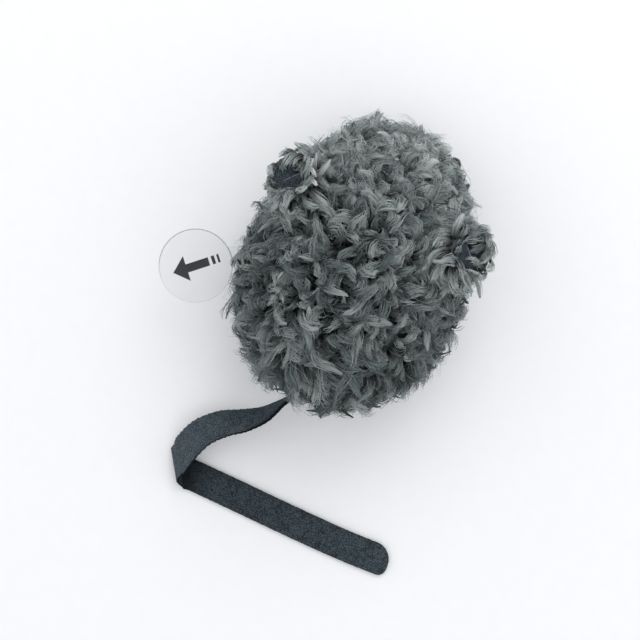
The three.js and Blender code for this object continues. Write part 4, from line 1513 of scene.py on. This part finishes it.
@dataclass
class PlushCover:
    """The shaggy cover: three sewn panels of backing cloth with combed locks on them."""

    form: BodyForm
    face: Face
    ears: Sequence[Ear]
    start_inset: float = 7.6
    back_rise: float = 1.6
    belly_fall: float = 2.6
    belly_level: float = 2.6
    belly_slope: float = -0.62
    voxel: float = 4.5
    swell: float = 1.2
    backing: float = 1.2
    cheek_start: float = 14.0
    haunch_end: float = -14.5
    whorl: tuple[float, float] = (-4.3, -3.0)
    whorl_reach: float = 15.0
    swirl: float = 1.1
    hang: float = 1.3
    belly_trim: float = 0.1
    brow: tuple[float, float] = (-21.0, 36.0)
    brow_reach: float = 11.0
    brow_growth: float = 0.5
    ear_reach: float = 13.0
    ear_push: float = 0.9
    ear_trim: float = 0.5
    eye_clear: float = 5.0
    nose_clear: float = 7.0
    fringe_reach: float = 10.0
    fringe_pull: float = 2.5
    fringe_rise: float = 0.3
    fringe_lean: float = 0.18
    fringe_calm: float = 0.7
    fringe_growth: float = 0.24
    parting: float = 1.5
    clip: float = 0.6
    clip_reach: float = 5.0
    flow: float = 0.55
    locks: LockSizes = LockSizes()
    second: LockSizes = LockSizes(spacing=1.4, seed=77)
    below: LockSizes = LockSizes(
        spacing=2.4, strands=12, length=11.4, width=1.9, thickness=1.3, strand=0.16)
    undercoat: LockSizes = LockSizes(
        spacing=2.0, strands=7, length=7.8, width=1.2, core=0.5, strand=0.12, root_lift=10.0, tip_lift=105.0,
        seed=31)
    loose: LockSizes = LockSizes(
        spacing=2.6, strands=4, length=9.5, width=2.0, thickness=1.4, core=0.0, strand=0.05, tip_lift=90.0,
        wave=0.8, frizz=0.3, seed=90)

    QUALITIES = {
        "stray": (1.05, {"whorl": 2.0, "head": 0.1, "flank": 0.4, "rump": -0.35}),
        "bow": (3.1, {"whorl": 0.4, "head": 0.3, "flank": 0.4, "rump": -1.0}),
        "lean": (1.0, {"whorl": -0.05, "head": -0.05, "brow": -0.2}),
        "pile": (1.0, {"head": -0.12, "rump": -0.15, "tail_end": 0.5}),
        "girth": (1.0, {"head": 0.5, "rump": 0.15, "flank": -0.15}),
        # paler towards the nose: painted light where the head faces the lamp; flank and rump a little darker:
        # painted shade
        "tone_and_painted_light": (0.1, {"forward": 0.38, "flank": -0.04, "rump": -0.05}),
        "cover": (1.0, {"belly": -0.1, "flank": -0.18, "rump": -0.28}),
    }

    def build(self, tree: LockTree) -> None:
        """Makes the backing, grows its locks and cuts it into panels.

        Args:
            tree: what grows the locks.
        """
        skin = self.build_skin()
        self.comb(skin)

        def grow(name: str, patch: int, sizes: LockSizes, finish: Finish) -> None:
            """Grows one layer of fibres and dresses it."""
            Bench.dressed(tree.grown(skin, name, patch, sizes, finish), finish, Body.MOUSE, "plush")

        for patch in Patch:
            sizes = self.below if patch is Patch.BELLY else self.locks
            grow(f"locks_{patch.name.lower()}", patch, sizes, Finishes.PLUSH)
            grow(f"undercoat_{patch.name.lower()}", patch, self.undercoat, Finishes.SHADED_UNDERCOAT)
        grow("loose_fibres", 0, self.loose, Finishes.PLUSH)
        Bench.note(skin, "cover", self.brows(skin))
        grow("locks_brow", 0, self.second, Finishes.PLUSH)
        tree.cleared(skin)
        self.cut_panels(skin)

    def build_skin(self) -> Piece:
        """Makes the stuffed form under the pile, swollen by cloth simulation.

        Returns:
            The form, in one piece.
        """
        ball = bmesh.new()
        bmesh.ops.create_icosphere(ball, subdivisions=5, radius=1.0)
        directions = unit(np.array([v.co[:] for v in ball.verts]))
        faces = [[v.index for v in f.verts] for f in ball.faces]
        ball.free()
        points = self.form.points(directions, self.start_inset)
        points[:, 2] += directions[:, 2] * np.where(directions[:, 2] > 0, self.back_rise, self.belly_fall)
        points[:, 2] = np.maximum(points[:, 2], self.belly_level)
        skin = Bench.piece("plush_skin", points, faces)
        Bench.remeshed(skin, self.voxel)
        Bench.inflated(skin, self.swell)
        Bench.refined(skin)
        settled = Bench.points(skin)
        settled[:, 2] = np.maximum(settled[:, 2], self.belly_level)
        Bench.move(skin, settled)
        return skin

    def regions(self, points: np.ndarray, up: np.ndarray) -> dict[str, np.ndarray]:
        """Says how much each point of the skin belongs to each region of the body, 0 to 1.

        Args:
            points: the skin's points.
            up: its normals there.

        Returns:
            The shares by region.
        """
        aside, forward = np.abs(points[:, 0]), points[:, 1]
        belly = smooth_step(0.3, 0.75, -up[:, 2])
        rump = smooth_step(-16.0, -32.0, forward) * (1 - belly)
        flank = smooth_step(19.0, 27.0, aside) * smooth_step(10.0, 2.0, forward)
        flank *= smooth_step(-30.0, -20.0, forward) * (1 - belly)
        return {
            "belly": belly,
            "rump": rump,
            "tail_end": rump * smooth_step(22.0, 10.0, aside),
            "flank": flank,
            "head": smooth_step(6.0, 20.0, forward) * (1 - belly),
            "forward": smooth_step(0.0, 40.0, forward),
            "whorl": bell(np.linalg.norm(points[:, :2] - np.array(self.whorl), axis=1), self.whorl_reach),
            "brow": bell(np.hypot(points[:, 0] - self.brow[0], forward - self.brow[1]), self.brow_reach),
        }

    def lie(self, points: np.ndarray, up: np.ndarray, regions: dict[str, np.ndarray]) -> np.ndarray:
        """Says which way the pile lies: out from the whorl and round it, down the sides, back on the belly.

        Args:
            points: the skin's points.
            up: its normals there.
            regions: how much each point belongs to each region.

        Returns:
            One direction for each point.
        """
        radial = np.column_stack([unit(points[:, :2] - np.array(self.whorl)), np.zeros(len(points))])
        around = np.column_stack([-radial[:, 1], radial[:, 0], np.zeros(len(points))])
        steep = np.clip(1.0 - up[:, 2], 0.0, 1.0)
        comb = radial + around * (regions["whorl"] * self.swirl)[:, None]
        comb = comb + np.array([0, 0, -self.hang]) * steep[:, None]
        belly = regions["belly"][:, None]
        return comb * (1 - belly) + np.array([0, -1, 0]) * belly

    def comb(self, skin: Piece) -> None:
        """Writes which way the pile lies, how long it is and which patch it belongs to.

        Args:
            skin: the stuffed form.
        """
        points, up = Bench.points(skin), Bench.normals(skin)
        regions = self.regions(points, up)
        comb = self.lie(points, up, regions)
        marks = told(self.QUALITIES, regions)
        marks["pile"] *= 1 - self.belly_trim * regions["belly"]
        marks["pile"] *= 1 + self.brow_growth * regions["brow"]
        for ear in self.ears:
            away = points - ear.seat()
            reach = np.linalg.norm(away, axis=1)
            comb += unit(away) * (bell(reach, self.ear_reach) * self.ear_push)[:, None]
            marks["pile"] *= 1 - self.ear_trim * smooth_step(8.0, 5.0, reach)
        for spot, clear in self.bare_spots():
            away = points - spot
            reach = np.linalg.norm(away, axis=1)
            above = smooth_step(-2.0, 3.0, away[:, 2])
            close = bell(reach, self.fringe_reach)
            over = unit(np.array([spot[0], spot[1] / 2, 0.0])) + np.array([0, 0, self.fringe_rise])
            comb += over * (self.fringe_pull * close * above)[:, None]
            comb += unit(away) * (close * (1 - above) * self.parting)[:, None]
            marks["lean"] -= self.fringe_lean * close * above
            marks["stray"] -= self.fringe_calm * close * above
            clipped = self.clip * (1 - above) * smooth_step(clear + self.clip_reach, clear, reach)
            marks["pile"] *= 1 + self.fringe_growth * above * close - clipped
        comb = unit(comb - up * np.sum(comb * up, 1)[:, None])
        x, y, z = points.T
        turn = self.flow * np.sin(x / 6.5 + 1.3 + z / 11) * np.cos(y / 8.0 + 0.4)
        comb = comb * np.cos(turn)[:, None] + np.cross(up, comb) * np.sin(turn)[:, None]
        Bench.notes(skin, marks | {"comb": comb})
        Bench.note(skin, "patch", self.patches(skin), "FACE")

    def bare_spots(self) -> list[tuple[np.ndarray, float]]:
        """The places where the pile is clipped short below, with how far."""
        eyes = [(self.face.eye(side), self.eye_clear) for side in Side]
        return eyes + [(self.face.nose()[0], self.nose_clear)]

    def brows(self, skin: Piece) -> np.ndarray:
        """Says how thickly a second layer of locks covers the skin: only above the eyes and the nose.

        Args:
            skin: the stuffed form.

        Returns:
            A share for each of its points.
        """
        points = Bench.points(skin)
        cover = np.zeros(len(points))
        for spot, clear in self.bare_spots():
            away = points - spot
            near = smooth_step(clear + 7.0, clear + 3.0, np.linalg.norm(away, axis=1))
            cover = np.maximum(cover, near * smooth_step(-1.0, 1.0, away[:, 2]))
        return cover

    def patches(self, skin: Piece) -> np.ndarray:
        """Says which patch each face of the skin belongs to.

        Args:
            skin: the stuffed form.

        Returns:
            The patch's number for each face.
        """
        found = []
        for face in skin.data.polygons:
            x, y, z = face.center / MM
            side = "LEFT" if x < 0 else "RIGHT"
            if face.normal.z < self.belly_slope:
                found.append(Patch.BELLY)
            elif z < self.form.seam_height:
                found.append(Patch[f"{side}_SKIRT"])
            elif y > self.cheek_start:
                found.append(Patch[f"{side}_CHEEK"])
            else:
                found.append(Patch[f"{side}_SHOULDER" if y > self.haunch_end else f"{side}_HAUNCH"])
        return np.array(found, dtype=int)

    def cut_panels(self, skin: Piece) -> None:
        """Cuts the skin along its seams into the three panels, each with the backing's thickness.

        Args:
            skin: the stuffed form, which is used up.
        """
        seam = self.form.seam_height
        cuts = {
            "left": [((0, 0, seam), (0, 0, -1)), ((0, 0, 0), (1, 0, 0))],
            "right": [((0, 0, seam), (0, 0, -1)), ((0, 0, 0), (-1, 0, 0))],
            "belly": [((0, 0, seam), (0, 0, 1))],
        }
        for name, planes in cuts.items():
            work = bmesh.new()
            work.from_mesh(skin.data)
            for place, away in planes:
                every = [*work.verts, *work.edges, *work.faces]
                bmesh.ops.bisect_plane(
                    work, geom=every, plane_co=Vector(place) * MM, plane_no=away, clear_outer=True)
            mesh = bpy.data.meshes.new(f"plush_{name}_backing")
            work.to_mesh(mesh)
            work.free()
            panel = Bench.placed(f"plush_{name}_backing", mesh)
            wall = panel.modifiers.new("wall", "SOLIDIFY")
            wall.thickness = self.backing * MM
            wall.offset = -1.0
            Bench.applied(panel)
            Bench.dressed(panel, Finishes.SHADED_BACKING, Body.MOUSE, "plush", [f"plush_{name}_panel"])
        bpy.data.objects.remove(skin)


@dataclass
class SuedeTail:
    """The tail: a suede strip that leaves the rump on edge, turns flat and is folded over once."""

    width: float = 10.0
    thickness: float = 1.2
    root: tuple[float, float, float] = (0.0, -38.7, 13.2)
    step: float = 10.0
    floor_gap: float = 0.1
    fold_radius: float = 1.4
    stations: int = 260
    bunching: float = 1.2
    across: int = 9
    tip_start: float = 0.8
    tip_inner: float = 6.2
    tip_flat: float = 1.2
    rag: float = 0.24
    rag_waves: tuple[float, float] = (5.1, 1.9)
    # painted light and shade along the strip: paler just above the fold, dark where the strip turns under,
    # fading shade on the flat end
    fold_shading: tuple[tuple[float, float], ...] = (
        (0.0, 0.0), (0.3, 0.0), (0.5, 0.12), (0.62, 0.12), (0.68, -0.9), (0.72, -0.85), (0.79, -0.3),
        (1.0, -0.08))

    def route(self) -> tuple[np.ndarray, np.ndarray]:
        """The strip's middle line and the direction across it, as the part's source lays them.

        Returns:
            One row for each point of the line, and one direction for each.
        """
        rest = self.thickness / 2 + self.floor_gap
        fold = rest + 2 * self.fold_radius
        high = self.root[2]
        rows = [
            (0, 0, high, 0, 0, 1), (-0.05, 0.37, 0.99 * high, 0, 0, 1),
            (-0.19, 0.79, 0.97 * high, 0.02, 0, 1), (-0.46, 1.21, 0.92 * high, 0.1, -0.06, 0.99),
            (-0.84, 1.77, 0.86 * high, 0.36, -0.19, 0.91), (-1.34, 2.19, 0.79 * high, 0.58, -0.3, 0.76),
            (-1.95, 2.61, 0.68 * high, 0.74, -0.33, 0.58), (-2.46, 3.15, 0.58 * high, 0.83, -0.31, 0.46),
            (-2.72, 3.75, 0.47 * high, 0.8, -0.44, 0.4), (-2.82, 4.25, 1.41 * fold, 0.57, -0.75, 0.34),
            (-2.85, 4.5, 0.94 * fold, 0.55, -0.8, 0.25), (-2.64, 4.6, 0.345 * fold, 0.55, -0.83, 0.08),
            (-2, 4.62, rest, 0.2, -0.98, 0), (-0.8, 4.65, rest, 0, -1, 0), (1.2, 4.71, rest, 0, -1, 0),
            (3.2, 4.74, rest, 0, -1, 0), (4.83, 4.69, rest, 0, -1, 0),
        ]
        table = np.array(rows, dtype=float)
        middle = table[:, :3] * np.array([self.step, -self.step, 1.0])
        return middle + np.array([self.root[0], self.root[1], 0.0]), table[:, 3:]

    @staticmethod
    def curve(points: np.ndarray, shares: np.ndarray) -> np.ndarray:
        """A centripetal Catmull-Rom curve through points.

        Args:
            points: the points that it passes.
            shares: where along it to read, 0 to 1.

        Returns:
            One row for each share.
        """
        ends = np.vstack([2 * points[0] - points[1], points, 2 * points[-1] - points[-2]])
        place = np.clip(shares, 0, 1) * (len(points) - 1)
        first = np.minimum(place.astype(int), len(points) - 2)
        weight = (place - first)[:, None]
        x0, x1, x2, x3 = (ends[first + k] for k in range(4))

        def gap(a: np.ndarray, b: np.ndarray) -> np.ndarray:
            """The root of the distance between neighbours."""
            return np.linalg.norm(b - a, axis=1, keepdims=True) ** 0.5

        middle = gap(x1, x2)
        middle = np.where(middle < 1e-4, 1.0, middle)
        before = np.where(gap(x0, x1) < 1e-4, middle, gap(x0, x1))
        after = np.where(gap(x2, x3) < 1e-4, middle, gap(x2, x3))
        leave = ((x1 - x0) / before - (x2 - x0) / (before + middle) + (x2 - x1) / middle) * middle
        reach = ((x2 - x1) / middle - (x3 - x1) / (middle + after) + (x3 - x2) / after) * middle
        c2 = -3 * x1 + 3 * x2 - 2 * leave - reach
        c3 = 2 * x1 - 2 * x2 + leave + reach
        return x1 + leave * weight + c2 * weight ** 2 + c3 * weight ** 3

    @staticmethod
    def corner(to_tip: np.ndarray, radius: float) -> np.ndarray:
        """How much a round corner takes off the half width, some way from the tip."""
        past = np.maximum(radius - to_tip, 0.0)
        return radius - np.sqrt(radius ** 2 - past ** 2)

    def build(self) -> None:
        """Makes the strip with its ragged cut edges."""
        middle, ruling = self.route()
        shares = 1 - (1 - np.linspace(0, 1, self.stations)) ** self.bunching
        place = self.curve(middle, shares)
        place[:, 2] = np.maximum(place[:, 2], self.thickness / 2 + self.floor_gap)
        ahead = unit(self.curve(middle, shares + 5e-4) - self.curve(middle, shares - 5e-4))
        across = unit(self.curve(ruling, shares))
        square = np.linalg.norm(across - ahead * np.sum(across * ahead, 1)[:, None], axis=1)
        to_tip = np.where(shares > self.tip_start, np.linalg.norm(place - place[-1], axis=1), self.width)
        tip_outer = self.width - self.tip_flat - self.tip_inner
        inner, outer = (
            (self.width / 2 - self.corner(to_tip, radius)) / square for radius in (self.tip_inner, tip_outer))
        out = unit(np.cross(ahead, across))
        travelled = np.concatenate([[0], np.cumsum(np.linalg.norm(np.diff(place, axis=0), axis=1))])
        fray = self.rag / (self.width / 2) * smooth_step(0.75, 0.55, shares).clip(0.25)
        section = self.section()
        rings = []
        for across_share, face_share in section:
            fine, coarse = (travelled * wave for wave in self.rag_waves)
            nub = np.sin(fine + 2 * across_share) * np.sin(coarse + across_share)
            ragged = 1 + fray * abs(across_share) ** 6 * nub
            edge = (outer - inner) / 2 + across_share * ragged * (outer + inner) / 2
            rings.append(place + edge[:, None] * across + face_share * self.thickness / 2 * out)
        points = np.stack(rings, 1).reshape(-1, 3)
        points[:, 2] = np.maximum(points[:, 2], self.floor_gap)
        strip = Bench.piece("tail_suede", points, self.faces(len(section)))
        # cut edges get the cut colour; the rest gets the painted fold shading
        fold_shading = np.interp(shares, *zip(*self.fold_shading))[:, None]
        cut = np.array([abs(s) == 1.0 for s, _ in section])
        Bench.note(strip, "mark", np.where(cut, -1.0, fold_shading).ravel())
        Bench.dressed(strip, Finishes.SUEDE, Body.TAIL, "suede", ["tail_strip"])

    def faces(self, count: int) -> list[tuple[int, ...]]:
        """Joins the rings along the strip and closes its ends.

        Args:
            count: the points of one ring.

        Returns:
            The faces.
        """
        faces: list[tuple[int, ...]] = []
        for i in range(self.stations - 1):
            for k in range(count):
                a, b = i * count + k, i * count + (k + 1) % count
                faces.append((a, b, b + count, a + count))
        faces.append(tuple(range(count))[::-1])
        faces.append(tuple((self.stations - 1) * count + k for k in range(count)))
        return faces

    def section(self) -> list[tuple[float, float]]:
        """The strip's outline across: one face, a rounded edge, the other face and its edge.

        Returns:
            For each point its share of the half width and of the half thickness.
        """
        shares = np.linspace(-1, 1, self.across) * 0.97
        low = [(s, -1.0) for s in shares]
        high = [(s, 1.0) for s in shares[::-1]]
        return low + [(1.0, -0.55), (1.0, 0.55)] + high + [(-1.0, 0.55), (-1.0, -0.55)]


@dataclass
class PullTab:
    """The clear film tab with a plain printed pull arrow."""

    head: tuple[float, float] = (-47.0, -21.6)
    radius: float = 11.7
    inward: tuple[float, float] = (0.746638, 0.66523)
    film_top: float = 22.15
    lit: tuple[float, float] = (-0.4, 0.916)
    ink: float = 0.03
    ink_gap: float = 0.01
    tip: float = -7.4
    barb: float = -2.9
    wing: float = 4.1
    shaft_end: float = 4.4
    shaft_half: float = 1.35
    bars: tuple[tuple[float, float], ...] = ((5.4, 6.4), (7.2, 7.9))

    def outlines(self) -> list[list[tuple[float, float]]]:
        """The arrow and the two bars behind it, along the tab and across it.

        Returns:
            The corners of each outline.
        """
        barb, wing, end, half = self.barb, self.wing, self.shaft_end, self.shaft_half
        arrow = [(self.tip, 0), (barb, wing), (barb, half), (end, half)]
        arrow += [(end, -half), (barb, -half), (barb, -wing)]
        return [arrow] + [[(low, half), (high, half), (high, -half), (low, -half)] for low, high in self.bars]

    def build(self, nodes: dict[str, Piece]) -> None:
        """Gives the film its finish and prints the arrow.

        Args:
            nodes: the part's CAD nodes.
        """
        film = FilmFinish(
            "clear_film", paint(196, 198, 202), paint(110, 112, 116), self.head, self.radius, self.lit)
        Dresser.coat(nodes["pull_tab"], film)
        points: list[tuple[float, float, float]] = []
        faces: list[tuple[int, ...]] = []
        along, across = np.array(self.inward), np.array([-self.inward[1], self.inward[0]])
        low = self.film_top + self.ink_gap
        for outline in self.outlines():
            start, count = len(points), len(outline)
            ring = [np.array(self.head) + along * u + across * v for u, v in outline]
            points += [(x, y, height) for height in (low, low + self.ink) for x, y in ring]
            faces.append(tuple(start + k for k in range(count)))
            faces.append(tuple(start + count + k for k in range(count))[::-1])
            for k in range(count):
                a, b = start + k, start + (k + 1) % count
                faces.append((a, a + count, b + count, b))
        arrow = Bench.piece("tab_arrow", np.array(points), faces)
        arrow.data.shade_flat()
        Bench.dressed(arrow, Finishes.INK, Body.TAB, "black_gloss")


@dataclass
class Filling:
    """What the cover is stuffed with: wadding round the module, and the catnip sachet."""

    wad_voxel: float = 1.5
    wad_tuft: float = 0.5
    sachet_voxel: float = 1.3
    sachet_start: float = 0.94
    sachet_swell: float = 0.5

    def build(self, nodes: dict[str, Piece]) -> None:
        """Makes the wads and the sachet from the solids that they stand for.

        Args:
            nodes: the part's CAD nodes.
        """
        for name in ("stuffing_upper", "stuffing_lower"):
            wad = Bench.copied(name.replace("stuffing", "wadding"), nodes[name])
            Bench.remeshed(wad, self.wad_voxel)
            points, up = Bench.points(wad), Bench.normals(wad)
            x, y, z = points.T
            tuft = np.sin(x * 1.1 + np.sin(z * 0.9)) * np.sin(y * 1.3 + z)
            Bench.move(wad, points - up * (self.wad_tuft * (0.6 + 0.5 * tuft))[:, None])
            Bench.dressed(wad, Finishes.WADDING, Body.MOUSE, "fibre", [name])
        sachet = Bench.copied("sachet_pillow", nodes["catnip_sachet"])
        points = Bench.points(sachet)
        middle = (points.min(0) + points.max(0)) / 2
        Bench.move(sachet, middle + (points - middle) * self.sachet_start)
        Bench.remeshed(sachet, self.sachet_voxel)
        Bench.inflated(sachet, self.sachet_swell)
        Bench.refined(sachet)
        Bench.dressed(sachet, Finishes.MUSLIN, Body.MOUSE, "muslin", ["catnip_sachet"])


class Dresser:
    """Finishes for the hard CAD pieces, which keep their shape."""

    BY_NODE = {
        Finishes.BEAD: ("eye_left", "eye_right", "sound_chip"),
        Finishes.PLASTIC: (
            "eye_left_washer", "eye_right_washer", "module_base", "module_cover", "motion_switch_plug"),
        Finishes.BOARD: ("circuit_board",),
        Finishes.STEEL: (
            "cover_screw_1", "cover_screw_2", "battery_cell_1", "battery_cell_2", "contact_bus",
            "motion_switch_can", "motion_ball"),
        Finishes.BRASS: ("contact_leaf_1", "contact_leaf_2", "piezo_plate"),
        Finishes.CERAMIC: ("piezo_ceramic",),
        Finishes.RED_SLEEVE: ("lead_red",),
        Finishes.BLACK_SLEEVE: ("lead_black",),
    }

    @staticmethod
    def coat(node: Piece, finish: Finish) -> None:
        """Puts a finish on every slot of a CAD node.

        Args:
            node: the CAD node.
            finish: its finish.
        """
        if not node.material_slots:
            node.data.materials.append(finish.material())
        for slot in node.material_slots:
            slot.material = finish.material()
        LOG.info("%s: %s", node.name, finish.name)

    @classmethod
    def build(cls, nodes: dict[str, Piece]) -> None:
        """Coats the hard pieces.

        Args:
            nodes: the part's CAD nodes.
        """
        for finish, names in cls.BY_NODE.items():
            for name in names:
                cls.coat(nodes[name], finish)


@dataclass
class Studio:
    """The white floor, the soft light and the camera straight above."""

    aim: tuple[float, float] = (-4.2, -21.6)
    height: float = 576.0
    turn: float = 23.6
    lens: float = 98.8
    floor_size: float = 4000.0
    sky: float = 0.9
    key: float = 1.7
    key_place: tuple[float, float, float] = (-20.0, 600.0, 600.0)
    key_size: float = 600.0
    key_aim_height: float = 20.0
    sky_tint: Colour = (0.97, 0.985, 1.0, 1.0)
    sensor: float = 36.0

    def build(self) -> None:
        """Makes the floor, the light and the camera."""
        self.build_floor()
        self.build_light()
        self.build_camera()
        bpy.context.scene.view_settings.view_transform = "Standard"

    def build_floor(self) -> None:
        """Lays the floor."""
        half = self.floor_size / 2
        corners = np.array([(-half, -half, 0), (half, -half, 0), (half, half, 0), (-half, half, 0)])
        floor = Bench.piece("floor", corners, [(0, 1, 2, 3)])
        floor.data.materials.append(Finishes.FLOOR.material())

    def build_light(self) -> None:
        """Sets the sky, which the camera sees as white, and one large lamp ahead of the nose."""
        world = bpy.data.worlds.new("studio")
        bpy.context.scene.world = world
        world.use_nodes = True
        net = Net(world.node_tree)
        glow = world.node_tree.nodes["Background"]
        net.fill(glow, {"Color": self.sky_tint, "Strength": self.sky})
        white = net.node("ShaderNodeBackground", {"Color": (1, 1, 1, 1), "Strength": 1.0})
        path = net.node("ShaderNodeLightPath")
        camera, glossy, through = (
            net.number(path.outputs[f"Is {kind} Ray"]) for kind in ("Camera", "Glossy", "Transmission"))
        seen = camera.at_least(glossy).at_least(through)
        mix = net.node("ShaderNodeMixShader", {0: seen, 1: glow.outputs[0], 2: white.outputs[0]})
        net.feed(world.node_tree.nodes["World Output"].inputs["Surface"], mix.outputs[0])
        lamp = bpy.data.lights.new("key", "AREA")
        lamp.shape = "DISK"
        lamp.size = self.key_size * MM
        lamp.energy = self.key
        made = bpy.data.objects.new("key", lamp)
        made.location = Vector(self.key_place) * MM
        target = Vector((*self.aim, self.key_aim_height)) * MM
        made.rotation_euler = (target - made.location).to_track_quat("-Z", "Y").to_euler()
        bpy.context.scene.collection.objects.link(made)

    def build_camera(self) -> None:
        """Hangs the camera over the mouse, turned as the photograph is."""
        camera = bpy.data.cameras.new("camera")
        camera.sensor_width = self.sensor
        camera.lens = self.lens
        made = bpy.data.objects.new("camera", camera)
        made.location = Vector((*self.aim, self.height)) * MM
        made.rotation_euler = (0.0, 0.0, math.radians(self.turn))
        bpy.context.scene.collection.objects.link(made)
        bpy.context.scene.camera = made


def main() -> None:
    """Loads the part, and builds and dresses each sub-assembly."""
    logging.basicConfig(level=logging.INFO, format="%(name)s %(message)s")
    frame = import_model()
    nodes = frame["nodes"]
    Studio().build()
    form = BodyForm()
    face = Face(form)
    ears = [Ear(form, side) for side in Side]
    tree = LockTree()
    PlushCover(form, face, ears).build(tree)
    for ear in ears:
        ear.build(tree)
    face.build()
    SuedeTail().build()
    PullTab().build(nodes)
    Filling().build(nodes)
    Dresser.build(nodes)


if __name__ == "__main__":
    main()
